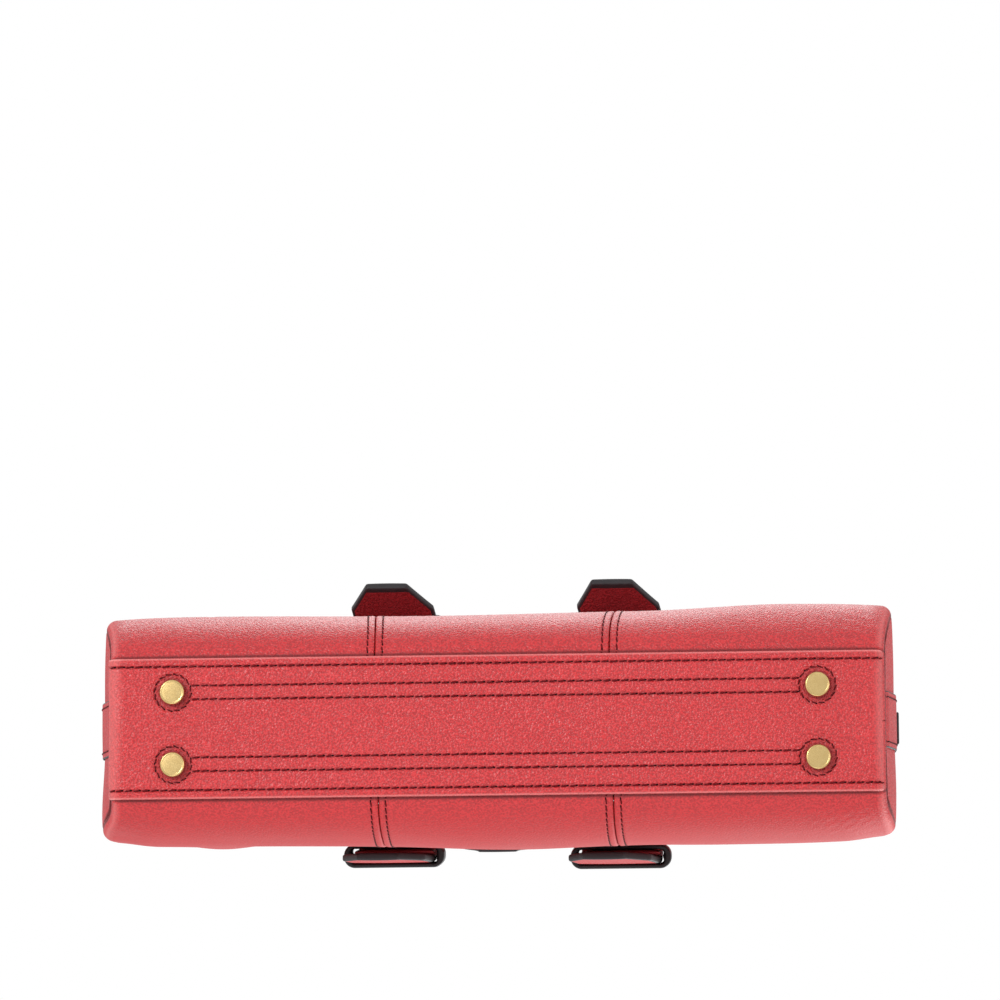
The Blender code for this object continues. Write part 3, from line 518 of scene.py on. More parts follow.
wrap = BEND_START + BEND * np.radians(80)
edge = np.array([0, 0.05, 0.15, 0.3, 0.5, 0.8, 1.1, 1.5, 2.0]) / 1000
base_columns = [-wrap + edge, np.linspace(-wrap + 0.0026, wrap - 0.0026, 420), wrap - edge[::-1]]
half_rows = [np.linspace(0, 0.0112, 14), np.linspace(0.0142, 0.0166, 5), np.linspace(0.0200, 0.0248, 9)]
half_rows += [row + np.linspace(-1.2, 1.2, 13) / 1000 for row in (INNER_ROW, OUTER_ROW, EDGE_ROW)]
half_rows = np.sort(np.concatenate([*half_rows, BASE_HALF - edge]))
s, y = np.meshgrid(np.concatenate(base_columns), np.concatenate([-half_rows[:0:-1], half_rows]))
foot_gap = np.hypot(np.abs(s) - FOOT_X, np.abs(y) - FOOT_Y)
groove = base_groove(s, y, foot_gap)
hem_gap, end_gap = BASE_HALF - np.abs(y), wrap - np.abs(s)
dip = rounded_rim(np.minimum(hem_gap, end_gap), 0.0013)
puff = 0.00024 * smooth(0.0006, 0.002, hem_gap) * (1 - smooth(0.0028, 0.0036, hem_gap))
puff = puff + 0.0001 * np.sin(np.pi * np.clip((EDGE_ROW - np.abs(y)) / (EDGE_ROW - OUTER_ROW), 0, 1))
puff = puff + 0.00012 * np.sin(30 * s + 60 * y) * np.sin(53 * s - 95 * y) * smooth(0, 0.004, hem_gap)
puff = puff * smooth(0.006, 0.011, foot_gap) - 0.0003 * (1 - smooth(0.0062, 0.0076, foot_gap))
# Painted highlight along the long edges and round the end bends; painted shade in the stitch grooves, round
# each foot and along the panel's ends.
painted_highlight_and_shade = 0.55 * bell(hem_gap, 0.0004, 0.0004) - 0.3 * groove
painted_highlight_and_shade = painted_highlight_and_shade + 0.28 * smooth(0.1570, 0.1620, np.abs(s)) * (1 - smooth(0.1655, 0.1670, np.abs(s)))
painted_highlight_and_shade = painted_highlight_and_shade - 0.45 * (1 - smooth(0.0056, 0.0072, foot_gap)) - 0.7 * (1 - smooth(0.0002, 0.0008, end_gap))
face = base_point(s, y, dip + 0.00032 * groove - puff)
back = base_point(s, y, LEATHER - 0.5 * dip)
fit(cut_piece("base_overlay", face, back, [RED_LEATHER], painted_highlight_and_shade=painted_highlight_and_shade), "base_panel")

down = np.array([0, 0, -1.0])
sewn = []
s = np.linspace(-0.1648, 0.1648, 700)
turn = np.sign(s) * np.maximum(np.abs(s) - BEND_START, 0) / BEND
out = joined(np.sin(turn), 0 * s, -np.cos(turn))
for y in (-EDGE_ROW, EDGE_ROW):
    sewn.append(stitches(base_point(s, y, STITCH_SINK), out))
s = np.linspace(-0.1294, 0.1294, 400)
for y in (-OUTER_ROW, -INNER_ROW, INNER_ROW, OUTER_ROW):
    sewn.append(stitches(base_point(s, y, STITCH_SINK), np.tile(down, (len(s), 1))))
turn = np.linspace(0, 2 * np.pi, 200)
for x_foot in (-FOOT_X, FOOT_X):
    for y_foot in (-FOOT_Y, FOOT_Y):
        s, y = x_foot + FOOT_RING * np.cos(turn), y_foot + FOOT_RING * np.sin(turn)
        circle = base_point(s, y, STITCH_SINK)
        sewn.append(stitches(circle, np.tile(down, (len(s), 1)), 0.0031, 0.00025, lean=12))
sewing("base_stitching", sewn)

# Feet: turned brass studs with a flat, faintly sanded face inside a polished rim. Their shanks go
# through the base and its board and are riveted over steel washers inside.
foot_shank = [(0.05, 12.9), (1.7, 12.9), (2.0, 12.6), (2.0, 4.7)]
foot_back = [(4.0, 4.5), (4.6, 4.45), (5.05, 4.2), (5.28, 3.8), (5.35, 3.3), (5.35, 1.2)]
foot_rim = [(5.32, 0.85), (5.22, 0.5), (5.05, 0.22), (4.85, 0.06), (4.7, 0.0), (4.58, 0.0), (4.5, 0.05)]
foot_face = [(4.45, 0.14), (4.38, 0.18), (4.2, 0.17), (3.2, 0.13), (1.6, 0.1), (0.05, 0.1)]
foot_profile = np.array(foot_shank + foot_back + foot_rim + foot_face) / 1000


def turned_metal(profile, turn):
    """Points of a profile of radius and height, turned about Z through some angles."""
    radius, height = profile[:, :1], profile[:, 1:]
    return joined(radius * np.cos(turn), radius * np.sin(turn), height)


def cast_metal(name, bright, dull, grit, rough):
    """Plated metal with a fine sanded grit: a clear mirror dulled by the grit, and small drifts of
    colour where the lacquer is thicker."""
    material, tree, shader, place = new_material(name)
    sand = add_node(tree, "TexNoise", {"Vector": place, "Scale": 1 / grit, "Detail": 3.0})
    drift = add_node(tree, "TexNoise", {"Vector": place, "Scale": 1 / 0.003, "Detail": 2.0})
    tone = add_node(tree, "Mix", {0: drift, 6: dull, 7: bright}, 2, data_type="RGBA")
    gloss = {"Value": sand, "From Min": 0.3, "From Max": 0.7, "To Min": rough - 0.07, "To Max": rough + 0.07}
    gloss = add_node(tree, "MapRange", gloss)
    bump = add_node(tree, "Bump", {"Height": sand, "Strength": 0.25, "Distance": 0.00003})
    feed(shader, {"Base Color": tone, "Roughness": gloss, "Normal": bump, "Metallic": 1.0})
    return material


PALE_BRASS = cast_metal("brass, turned and lacquered", "#CDB47E", "#BFA169", 0.0004, 0.27)
PLATED_STEEL = cast_metal("steel, zinc plated", "#C6C7CB", "#B4B5B8", 0.0003, 0.35)
stud = turned_metal(foot_profile, np.arange(64) * 2 * np.pi / 64)
for side_name, side in SIDES.items():
    for end_name, end in ENDS.items():
        points = stud + np.array([end * FOOT_X, side * FOOT_Y, 0])
        quads = tube_quads(len(foot_profile), 64)[:, ::-1]
        foot = skin(f"{side_name}_foot_{end_name}", points, quads, [PALE_BRASS])
        fit(foot, f"foot_{side_name}_{end_name}")
        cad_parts[f"foot_washer_{side_name}_{end_name}"].material_slots[0].material = PLATED_STEEL

# Base board: a stiff sheet of grey fibre board between the base and the lining, pressed from
# felted pulp, with the feet riveted through it.
FIBRE_BOARD, tree, shader, place = new_material("fibre board, pressed grey pulp")
fibre = add_node(tree, "TexNoise", {"Vector": place, "Scale": 1 / 0.0015, "Detail": 6.0})
tone = add_node(tree, "Mix", {0: fibre, 6: "#7C7972", 7: "#979389"}, 2, data_type="RGBA")
bump = add_node(tree, "Bump", {"Height": fibre, "Strength": 0.4, "Distance": 0.0002})
feed(shader, {"Base Color": tone, "Normal": bump, "Roughness": 0.9})
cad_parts["base_board"].material_slots[0].material = FIBRE_BOARD

# Gussets: the two ends of the bag, each one piece of leather set between the rolled ends of the
# walls and sewn to them from inside, so that it bellies out a little over the contents.
BELLY, TOP_BELLY, GUSSET_GAP = 0.0017, 0.0006, 0.0003


def gusset_reach(share, z, end):
    """How far out a gusset lies at a share of its half-width and a height: the wall's end, plus a
    belly that shrinks from the fullest height to the top and fades towards both seams."""
    belly = BELLY * smooth(0.0109, FULLEST, z) - (BELLY - TOP_BELLY) * smooth(FULLEST, 0.20, z)
    return HALF_LENGTH + end_swell(z) + worn_end(end, z) + belly * (1 - np.abs(share) ** 2.5)


def gusset_edge(t):
    """Height and half-width of the gusset's edge: the section, drawn in by the walls' rolled ends."""
    across, up = section_out(t)
    y, z = body_section(t)
    inset = END_ROLL + GUSSET_GAP + END_DRAW * np.abs(across)
    return z - inset * up, y - inset * across


rows = np.concatenate([np.linspace(1, 2, 40), np.linspace(2, 2.97, 100)[1:], rim_rows])
edge_share = 1 - np.array([0, 0.3, 0.7, 1.2, 1.8, 2.6, 3.6]) / 36
shares = np.concatenate([-edge_share, np.linspace(-0.88, 0.88, 48), edge_share[::-1]])
u, t = np.meshgrid(shares, rows)
z, width = gusset_edge(t)
seam_gap = (1 - np.abs(u)) * width
top_dip = rounded_rim(top_gap(t), 0.0008)
free = smooth(0.03, 0.09, z) * smooth(0.002, 0.014, seam_gap)
# Painted shade down both seams and along the bottom of each gusset.
painted_highlight_and_shade = -0.85 * (1 - smooth(0.0002, 0.0013, seam_gap)) - 0.8 * (1 - smooth(0.0125, 0.0150, z))
for end_name, end in ENDS.items():
    waves = np.sin(75 * u * width * end + 40 * z) + 0.7 * np.sin(58 * z - 60 * u * width + end)
    pucker = 0.00012 * np.sin(2 * np.pi * z / 0.0075 + 2 * end) * np.exp(-seam_gap / 0.004)
    off = 0.0003 * free * waves + pucker - 0.0008 * smooth(0.10, 0.17, z) * (1 - u**2) ** 2
    reach = gusset_reach(u, z, end) + off
    y = end * u * width
    for side in SIDES.values():
        reach = reach + edge_reach(end, z, side) * smooth(0.1, 1.0, side * end * u)
        y = y + side * wall_bulge(end * HALF_LENGTH, z, side) * np.clip(side * end * u, 0, 1) ** 2
    face = joined(end * (reach - rounded_rim(seam_gap, 0.0009) - top_dip), y, z)
    back = joined(end * (reach - LEATHER + top_dip), y, z)
    gusset = cut_piece(f"end_gusset_{end_name}", face, back, [RED_LEATHER], painted_highlight_and_shade=np.maximum(painted_highlight_and_shade, -0.9))
    fit(gusset, f"gusset_{end_name}")

# End bands: a strip of doubled leather up the middle of each gusset, with sewn sides and dark
# painted edges. The paint is brushed on in coats, so it is smooth and rounded over.
BAND_HALF, BAND_Y, BAND_LOW, BAND_HIGH = 0.01205, 0.001, 0.0118, 0.212
RIM_STEPS = np.array([0, 0.12, 0.3, 0.55, 0.9]) / 1000


def strip_faces(path, out, across, half_width, thickness, crown, radius):
    """Two grids of points for a strip of leather: a path carried across its width in a straight
    line, half its thickness to each side, with all edges rounded and the outer face crowned."""
    run = path_run(path)
    half = np.broadcast_to(half_width, len(path))[:, None]
    inner = np.linspace(-1, 1, 19) * (half - 0.0014)
    wide = np.concatenate([-half + RIM_STEPS, inner, half - RIM_STEPS[::-1]], axis=1)
    side_near = np.clip(radius - half + np.abs(wide), 0, radius)
    end_near = np.clip(radius - np.minimum(run, run[-1] - run), 0, radius)[:, None]
    fall = rounded_rim(radius - np.hypot(side_near, end_near), radius)
    line = path[:, None, :] + wide[..., None] * across
    swell = crown * (1 - np.minimum(np.abs(wide) / half, 1) ** 2)
    face = line + (thickness / 2 - fall + swell)[..., None] * out[:, None, :]
    return face, line - (thickness / 2 - fall)[..., None] * out[:, None, :]


def path_out(path, across):
    """Outward directions of a path: its own direction turned across the strip."""
    return unit(np.cross(np.gradient(path, axis=0), across))


def strip_rows(low, high, spacing):
    """Heights along a strip: even ones, with closer ones at both rounded ends."""
    inset = 1.6 * RIM_STEPS[-1]
    inner = np.linspace(low + inset, high - inset, int((high - low) / spacing))
    return np.concatenate([low + RIM_STEPS, inner, high - RIM_STEPS[::-1]])


EDGE_PAINT, tree, shader, place = new_material("leather edge paint, dark grey")
brush = add_node(tree, "TexNoise", {"Vector": place, "Scale": 1 / 0.0025, "Detail": 4.0})
tone = add_node(tree, "Mix", {0: brush, 6: "#262527", 7: "#363437"}, 2, data_type="RGBA")
coats = {"Value": brush, "From Min": 0.3, "From Max": 0.7, "To Min": 0.5, "To Max": 0.6}
gloss = add_node(tree, "MapRange", coats)
bump = add_node(tree, "Bump", {"Height": brush, "Strength": 0.2, "Distance": 0.0001})
feed(shader, {"Base Color": tone, "Roughness": gloss, "Normal": bump, "Specular IOR Level": 0.25})
z = strip_rows(BAND_LOW, BAND_HIGH, 0.0014)
for end_name, end in ENDS.items():
    tuck = 0.0016 * (1 - smooth(BAND_LOW, 0.019, z))
    line = joined(end * (gusset_reach(0, z, end) + 0.0006 - tuck), 0 * z + BAND_Y, z)
    across = np.array([0, end, 0.0])
    out = path_out(line, -across)
    out = out * np.sign(out[:, :1] * end)
    face, back = strip_faces(line, out, across, BAND_HALF, 0.001, 0.0001, 0.0005)
    band = cut_piece(f"end_band_{end_name}", face, back, [RED_LEATHER, EDGE_PAINT], (3, 3))
    fit(band, f"side_band_{end_name}")
    rows = (-BAND_HALF + 0.0025, BAND_HALF - 0.0025)
    sewn = [stitches(line + y * across + 0.0005 * out, out) for y in rows]
    sewing(f"end_band_stitching_{end_name}", sewn)

# Ring tabs: a leather strip folded double over the bar of a D-ring, sewn through both layers and
# down to the band, with painted edges. The D-rings are bent from round brass wire.
RING_X, RING_Z, RING_LEAN = 0.16996, 0.222, np.radians(8)
RING_HALF, RING_BEND, RING_RISE, WIRE = 0.0108, 0.0034, 0.0165, 0.00168
TAB_HALF, TAB_DROP, TAB_FLARE, TAB_FOLD = 0.0072, 0.044, 0.0043, 0.00276
TAB_ROW = TAB_HALF - 0.0022
TAB_ASKEW = {"left": 0.125, "right": 0.02}
low = strip_rows(-TAB_DROP, -0.006, 0.0012)[:-4]
bend = np.radians(np.linspace(-62, 242, 40))
outer_leg = joined(0.0008 - TAB_FLARE * low / TAB_DROP, low)
inner_leg = outer_leg - [0.0016, 0]
fold = TAB_FOLD * joined(np.cos(bend), np.sin(bend))
tab_path = np.concatenate([outer_leg, fold, inner_leg[::-1]])
run = path_run(tab_path)
even = np.linspace(RIM_STEPS[-1], run[-1] - RIM_STEPS[-1], 96)
even = np.concatenate([RIM_STEPS[:-1], even, run[-1] - RIM_STEPS[-2::-1]])
tab_path = path_at(tab_path, run, even)

arch = np.radians(np.linspace(12, 168, 40))
quarter = np.radians(np.linspace(-90, 0, 10))
bar = np.linspace(-RING_HALF + RING_BEND, RING_HALF - RING_BEND, 10)[:-1]
corner = joined(RING_HALF - RING_BEND + RING_BEND * np.cos(quarter), RING_BEND * (1 + np.sin(quarter)))
arch = joined(RING_HALF * np.cos(arch), RING_BEND + (RING_RISE - RING_BEND) * np.sin(arch))
ring_line = np.concatenate([joined(bar, 0 * bar), corner, arch, (corner * [-1, 1])[::-1]])
along = unit(np.roll(ring_line, -1, axis=0) - np.roll(ring_line, 1, axis=0))
turn = np.arange(24) * 2 * np.pi / 24
ring_y = ring_line[:, :1] + WIRE * np.cos(turn) * along[:, 1:]
ring_z = ring_line[:, 1:] - WIRE * np.cos(turn) * along[:, :1]
ring_x = np.broadcast_to(WIRE * np.sin(turn), ring_y.shape)
for end_name, end in ENDS.items():
    askew = TAB_ASKEW[end_name]
    aside = -askew * np.minimum(tab_path[:, 1] + 0.004, 0)
    line = joined(end * (RING_X + tab_path[:, 0]), aside, RING_Z + tab_path[:, 1])
    across = np.array([0, 1.0, 0])
    out = path_out(line, across) * -end
    face, back = strip_faces(line, out, across, TAB_HALF, 0.0014, 0.0, 0.0006)
    tab = cut_piece(f"ring_holder_{end_name}", face, back, [RED_LEATHER, EDGE_PAINT], (3, 3))
    fit(tab, f"ring_tab_{end_name}")

    v = np.linspace(-TAB_DROP + 0.008, -0.0065, 30)
    u = end * (RING_X + 0.0015 - TAB_FLARE * v / TAB_DROP)
    over = np.linspace(-TAB_ROW, TAB_ROW, 10)
    sewn = []
    for u_row, y_row, v_row in ((u, -TAB_ROW, v), (u, TAB_ROW, v), (u[-1], over, v[-1])):
        row = joined(u_row, y_row - askew * (v_row + 0.004), RING_Z + v_row)
        sewn.append(stitches(row, np.tile([end, 0, 0.077], (len(row), 1))))
    sewing(f"ring_holder_stitching_{end_name}", sewn)

    x = end * (RING_X + ring_x * np.cos(RING_LEAN) - ring_z * np.sin(RING_LEAN))
    z = RING_Z + ring_z * np.cos(RING_LEAN) + ring_x * np.sin(RING_LEAN)
    quads = tube_quads(len(ring_line), len(turn), True)[:, ::end]
    ring = skin(f"d_ring_{end_name}", joined(x, ring_y, z), quads, [PALE_BRASS])
    fit(ring, f"side_ring_{end_name}", f"{end_name}_ring")

# Lining and facings: tan cotton twill sewn in as two sides, two ends and a floor, under a facing
# of the red leather inside the top edge. The twill hangs a little slack between its seams.
LINING_REACH, LINING_LOW = 0.1572, 1.25
LINING_DEPTH, CLOTH = 0.004, 0.0008
FACING_LOW, FACING_DEPTH = 0.207, 0.0012
TWILL, tree, shader, place = new_material("cotton twill, tan")
diagonal = add_node(tree, "Mapping", {"Vector": place, "Rotation": (0.0, 0.78, 0.0)})
ribs = {"Vector": diagonal, "Scale": 0.3142 / 0.0009, "Distortion": 0.6, "Detail": 1.0, "Detail Scale": 2.0}
rib = add_node(tree, "TexWave", ribs, "Fac", bands_direction="X")
slub = add_node(tree, "TexNoise", {"Vector": place, "Scale": 1 / 0.006, "Detail": 4.0})
tone = add_node(tree, "Mix", {0: slub, 6: "#A88B6C", 7: "#BFA384"}, 2, data_type="RGBA")
weave = add_node(tree, "Mix", {0: rib, 6: tone, 7: "#8A6F53"}, 2, data_type="RGBA")
bump = add_node(tree, "Bump", {"Height": rib, "Strength": 0.5, "Distance": 0.0002})
feed(shader, {"Base Color": weave, "Normal": bump, "Roughness": 0.9, "Sheen Weight": 0.2})


def lining(name, face, back, node, **laid):
    """A piece of the lining, fitted in place of its CAD node."""
    cloth = cut_piece(name, face, back, [TWILL])
    fit(cloth, node)


facing_start = section_at(FACING_LOW)
facing_rows = np.concatenate([np.linspace(facing_start + 0.005, 2.97, 16), rim_rows])
lining_rows = np.concatenate([np.linspace(LINING_LOW, 2, 30), np.linspace(2, facing_start, 60)[1:]])
columns = np.linspace(-LINING_REACH, LINING_REACH, 120)
for side_name, side in SIDES.items():
    x, t = np.meshgrid(columns, lining_rows)
    z = body_section(t)[1]
    held = smooth(0.02, 0.06, z) * (1 - smooth(0.19, FACING_LOW, z))
    held = held * smooth(0, 0.02, LINING_REACH - np.abs(x))
    slack = 0.0006 * held * (1 + np.sin(90 * x + 25 * z + side) + np.sin(37 * x - 60 * z))
    slack = LINING_DEPTH + slack - wall_slack(x, t, side)
    face, back = wall_point(x, t, side, slack + CLOTH), wall_point(x, t, side, slack)
    laid = {"flat": (0.3144, 0.206), "held": "hung", "rests_on": [f"{side_name}_facing"]}
    lining(f"lining_side_{side_name}", face, back, f"lining_{side_name}", **laid)

    x, t = np.meshgrid(columns, facing_rows)
    dip = rounded_rim(top_gap(t), 0.0005)
    face = wall_point(x, t, side, LEATHER + 0.0003 + FACING_DEPTH - dip)
    back = wall_point(x, t, side, LEATHER + 0.0003 + dip)
    fit(cut_piece(f"{side_name}_facing", face, back, [RED_LEATHER]), f"facing_{side_name}")
    sewn = []
    for gap in (TOP_ROW, 0.0255):
        t = np.full_like(columns, section_at(TOP - gap))
        sewn.append(stitches(wall_point(columns, t, side, LEATHER + 0.0014), -wall_out(t, side)))
    sewing(f"{side_name}_facing_stitching", sewn)
rows = np.concatenate([np.linspace(1.02, 2, 40), np.linspace(2, 2.988, 90)[1:]])
u, t = np.meshgrid(np.linspace(-1, 1, 40), rows)
z, width = gusset_edge(t)
for end_name, end in ENDS.items():
    reach = gusset_reach(u * (width - 0.004) / width, z, end) - 0.0024
    face, back = (joined(end * far, end * u * (width - 0.004), z) for far in (reach - CLOTH, reach))
    laid = {"flat": (0.0842, 0.2265), "held": "hung", "rests_on": [f"end_gusset_{end_name}"], "area": 0.0163}
    lining(f"lining_end_{end_name}", face, back, f"lining_{end_name}", **laid)
floor_half = float(wall_point(0.0, LINING_LOW, 1, LINING_DEPTH + CLOTH)[1]) - 0.0003
u, v = np.meshgrid(np.linspace(-1, 1, 120), np.linspace(-1, 1, 24))
x, y = u * (LINING_REACH - 0.0008), v * floor_half
level = 0.0132 + 0.0002 * (1 + np.sin(60 * x + 40 * y) * np.sin(35 * x - 70 * y))
face, back = joined(x, y, level + CLOTH), joined(x, y, level)
laid = {"flat": (0.3128, round(2 * floor_half, 4)), "held": "laid", "rests_on": ["base_board"]}
lining("lining_bottom", face, back, "lining_floor", **laid)

# Handle straps: doubled leather with a filler, sewn along both sides and edge-painted dark grey;
# their back faces are a darker red, painted shade where they face the wall. Each lies up a wall
# over a seam, through its keeper, and its tapered tip hangs free below.
KEEPER_BOTTOM, KEEPER_HEIGHT = 0.157, 0.016
STRAP_TOP, STRAP_THICK, TIP_LENGTH = 0.230, 0.0031, 0.0341
# A darker copy of the red leather: painted shade on the straps' back faces and the pads, which face the wall.
SHADED_STRAP_LEATHER = calf_leather("calf leather, red, darkened as painted shade", "#A0343A", "#942C32", "#661419")
# How each strap hangs: its place off the seam and inward in metres, its tip's swing and lift in degrees.
STRAP_HANG = {
    ("front", "left"): (0.0004, 0.0, 10.4, -2.5),
    ("front", "right"): (0.0025, 0.0016, 7.8, -0.7),
    ("back", "left"): (-0.0013, 0.0, 9.4, 35.2),
    ("back", "right"): (0.0002, 0.0, 7.2, 33.2),
}


def wall_depth(z):
    """Half-depth of the body at a height above its fullest one."""
    return body_section(section_at(z))[0]


def strap_line(z, lift):
    """Half-depth of a strap's middle plane: 7 mm off the wall at the keeper, easing to 2 mm above
    it, and below it turning off the wall by the tip's lift round a 6 mm bend."""
    above = np.clip(z, KEEPER_BOTTOM, TOP)
    ease = smooth(KEEPER_BOTTOM + KEEPER_HEIGHT, KEEPER_BOTTOM + KEEPER_HEIGHT + 0.035, above)
    drop = np.clip(KEEPER_BOTTOM - z, 0, 1)
    return wall_depth(above) + 0.00705 - 0.0049 * ease + np.tan(lift) * (np.hypot(drop, 0.006) - 0.006)


def strap_half(z, low):
    """Half-width of a strap: 9.1 mm at its flat tip, 18.5 mm above the taper, narrowing to 11 mm at
    the handle."""
    taper = np.clip((z - low) / 0.0146, 0, 1)
    return 0.0091 + 0.0094 * taper - 0.0075 * smooth(0.189, 0.2382, z)


def strap_swing(z, aside, swing, start):
    """Sideways place of a strap's middle: off its seam at the keeper, back over it at the handle, and
    swung further below the start of the tip."""
    return aside * (1 - smooth(0.175, 0.225, z)) + np.tan(swing) * np.clip(start - z, 0, 1)


for (side_name, end_name), (beside, inward, swing, lift) in STRAP_HANG.items():
    side, end = SIDES[side_name], ENDS[end_name]
    swing, lift = np.radians(swing), np.radians(lift)
    low = KEEPER_BOTTOM - TIP_LENGTH * np.cos(lift)
    z = strip_rows(low, STRAP_TOP, 0.0012)
    x = end * SEAM + strap_swing(z, beside, swing, 0.162 if side < 0 else 0.152)
    off = strap_line(z, lift) - inward * (1 - smooth(0.18, 0.215, z))
    line = joined(x, side * off, z)
    across = np.array([1.0, 0, 0])
    out = path_out(line, across)
    out = out * np.sign(out[:, 1:2] * side)
    half = strap_half(z, low)
    face, back = strip_faces(line, out, across, half, STRAP_THICK, 0.0002, 0.0010)
    layers = [RED_LEATHER, EDGE_PAINT, SHADED_STRAP_LEATHER]
    strap = cut_piece(f"{side_name}_strap_{end_name}", face, back, layers, (6, 5))
    fit(strap, f"strap_{side_name}_{end_name}")
    sewn = []
    inside = (z > KEEPER_BOTTOM) & (z < STRAP_TOP - 0.0015)
    for sign in (-1, 1):
        row = line + sign * (half - 0.0026)[:, None] * across + 0.00158 * out
        sewn.append(stitches(row[inside], out[inside]))
    sewing(f"{side_name}_strap_stitching_{end_name}", sewn)

# Keeper loops: a dark finished leather band round each strap, sewn to the wall, with rounded edges
# and smooth all over from many coats of finish.
LOOP_HALF, LOOP_LOW, LOOP_HIGH, LOOP_BEND = 0.02165, 0.0014, 0.01, 0.0039
DARK_FINISH, tree, shader, place = new_material("calf leather, finished near black")
crackle = add_node(tree, "TexNoise", {"Vector": place, "Scale": 1 / 0.0012, "Detail": 4.0})
tone = add_node(tree, "Mix", {0: crackle, 6: "#141214", 7: "#242123"}, 2, data_type="RGBA")
bump = add_node(tree, "Bump", {"Height": crackle, "Strength": 0.3, "Distance": 0.0001})
feed(shader, {"Base Color": tone, "Normal": bump, "Roughness": 0.4, "Specular IOR Level": 0.3})


def to_keeper(points, x, side):
    """Points of a keeper's own frame (along the bag, off the wall, up the wall) put on the wall."""
    z = KEEPER_BOTTOM + KEEPER_HEIGHT / 2
    across, up = section_out(section_at(z))
    off, rise = points[..., 1], points[..., 2]
    y = side * (wall_depth(z) + off * across - rise * up)
    return joined(x + points[..., 0], y, z + off * up + rise * across)


def rounded_square(turn, power):
    """Two coordinates of a superellipse by angle: a circle pushed out to the corners by a power."""
    c, s = np.cos(turn), np.sin(turn)
    reach = (np.abs(c) ** power + np.abs(s) ** power) ** (-1 / power)
    return reach * c, reach * s


quarter = np.concatenate([np.linspace(0, 90, 10) + 90 * k for k in range(4)])
loop_out = joined(np.cos(np.radians(quarter)), np.sin(np.radians(quarter)))
loop_x = np.repeat([1, -1, -1, 1], 10) * (LOOP_HALF - LOOP_BEND)
loop_y = np.repeat([LOOP_HIGH - LOOP_BEND, LOOP_LOW + LOOP_BEND], 20)
loop = joined(loop_x, loop_y) + LOOP_BEND * loop_out
thick, tall = rounded_square(np.arange(32) * 2 * np.pi / 32, 5)
thick = 0.0011 * thick * (1 + 1.55 * (thick < 0) * loop_out[:, :1] ** 2)
tall = np.broadcast_to(KEEPER_HEIGHT / 2 * tall, thick.shape)
loop_band = [loop[:, :1] + thick * loop_out[:, :1], loop[:, 1:] + thick * loop_out[:, 1:], tall]
for (side_name, end_name), (beside, inward, *_) in STRAP_HANG.items():
    side = SIDES[side_name]
    points = to_keeper(joined(*loop_band) - [0, inward, 0], ENDS[end_name] * SEAM + beside, side)
    quads = tube_quads(len(loop), 32, True)[:, ::side]
    keeper = skin(f"{side_name}_keeper_{end_name}", points, quads, [DARK_FINISH])
    fit(keeper, f"keeper_{side_name}_{end_name}")

# Strap pads: a small leather pad with a soft filling behind each strap, stuck to it inside the
# keeper, that holds the strap off the wall.
# The pads take the darker leather, painted shade between strap and wall.
PAD_HALF, PAD_RISE = 0.0177, 0.0076
u, v = np.meshgrid(np.linspace(-1, 1, 30), np.linspace(-1, 1, 16))
dome = np.sqrt(np.clip((1 - np.abs(u) ** 6) * (1 - np.abs(v) ** 6), 0, 1))
swell = joined(0 * u, 0.0003 + 0.0009 * dome, 0 * u)
for (side_name, end_name), (beside, inward, *_) in STRAP_HANG.items():
    x, side = ENDS[end_name] * SEAM + beside, SIDES[side_name]
    pad_middle = joined(u * PAD_HALF, 0.004 - inward + 0 * u, v * PAD_RISE)
    face, back = to_keeper(pad_middle + swell, x, side), to_keeper(pad_middle - swell, x, side)
    pad = cut_piece(f"{side_name}_pad_{end_name}", face, back, [SHADED_STRAP_LEATHER])
    fit(pad, f"strap_pad_{side_name}_{end_name}")

# Handles: the straps go on over the top edge as rolled leather round a cord core, flat where they
# fold at the rim and round above, with a second leather wrapped round the grip and sewn on the
# inside of the curve.
PIVOT_Y, PIVOT_Z = 0.0437, 0.2385
LEAN = np.radians(9)
GRIP, GRIP_START, GRIP_SEAM = 0.0072, 0.0985, 0.32044


def handle_line(distance):
    """Middle line of a handle in its own plane by the distance along it: up one leg, over half an
    ellipse 100 mm wide and 56 mm high, and down the other leg."""
    turn = np.linspace(0, np.pi, 400)
    leg = np.linspace(0, 0.048, 100)[:-1]
    x = np.concatenate([0 * leg - SEAM, -SEAM * np.cos(turn), 0 * leg + SEAM])
    z = np.concatenate([leg, 0.048 + 0.056 * np.sin(turn), leg[::-1]])
    path = joined(x, z)
    run = path_run(path)
    return path_at(path, run, distance * run[-1])


def handle_place(points, side):
    """Points of a handle's own frame, leant in over the bag and put on its fold line."""
    x, y, z = points[..., 0], points[..., 1], points[..., 2]
    off = side * PIVOT_Y + y * np.cos(LEAN) - side * z * np.sin(LEAN)
    return joined(x, off, PIVOT_Z + side * y * np.sin(LEAN) + z * np.cos(LEAN))


def handle_tube(distance, size, turn, side):
    """Rings round the handle's line: superellipses of a half-width, a half-thickness and a power,
    with their first point on the inside of the curve."""
    x, z = handle_line(distance).T[..., None]
    step = handle_line(np.minimum(distance + 0.0005, 1)) - handle_line(np.maximum(distance - 0.0005, 0))
    along_x, along_z = unit(step).T[..., None]
    wide, thick, power = size(z)
    across, off = rounded_square(turn, power)
    across, off = wide * across, thick * off - side * 0.0025
    return handle_place(joined(x + across * along_z, off, z - across * along_x), side)


def roll_size(z):
    """A rolled handle's section by height: 22 by 5 mm with nearly square corners at the fold, easing
    to a round of 5.6 mm radius 26 mm above it."""
    ease = smooth(0, 0.026, z)
    return 0.011 - 0.0054 * ease, 0.0025 + 0.0031 * ease, 5 - 3 * ease


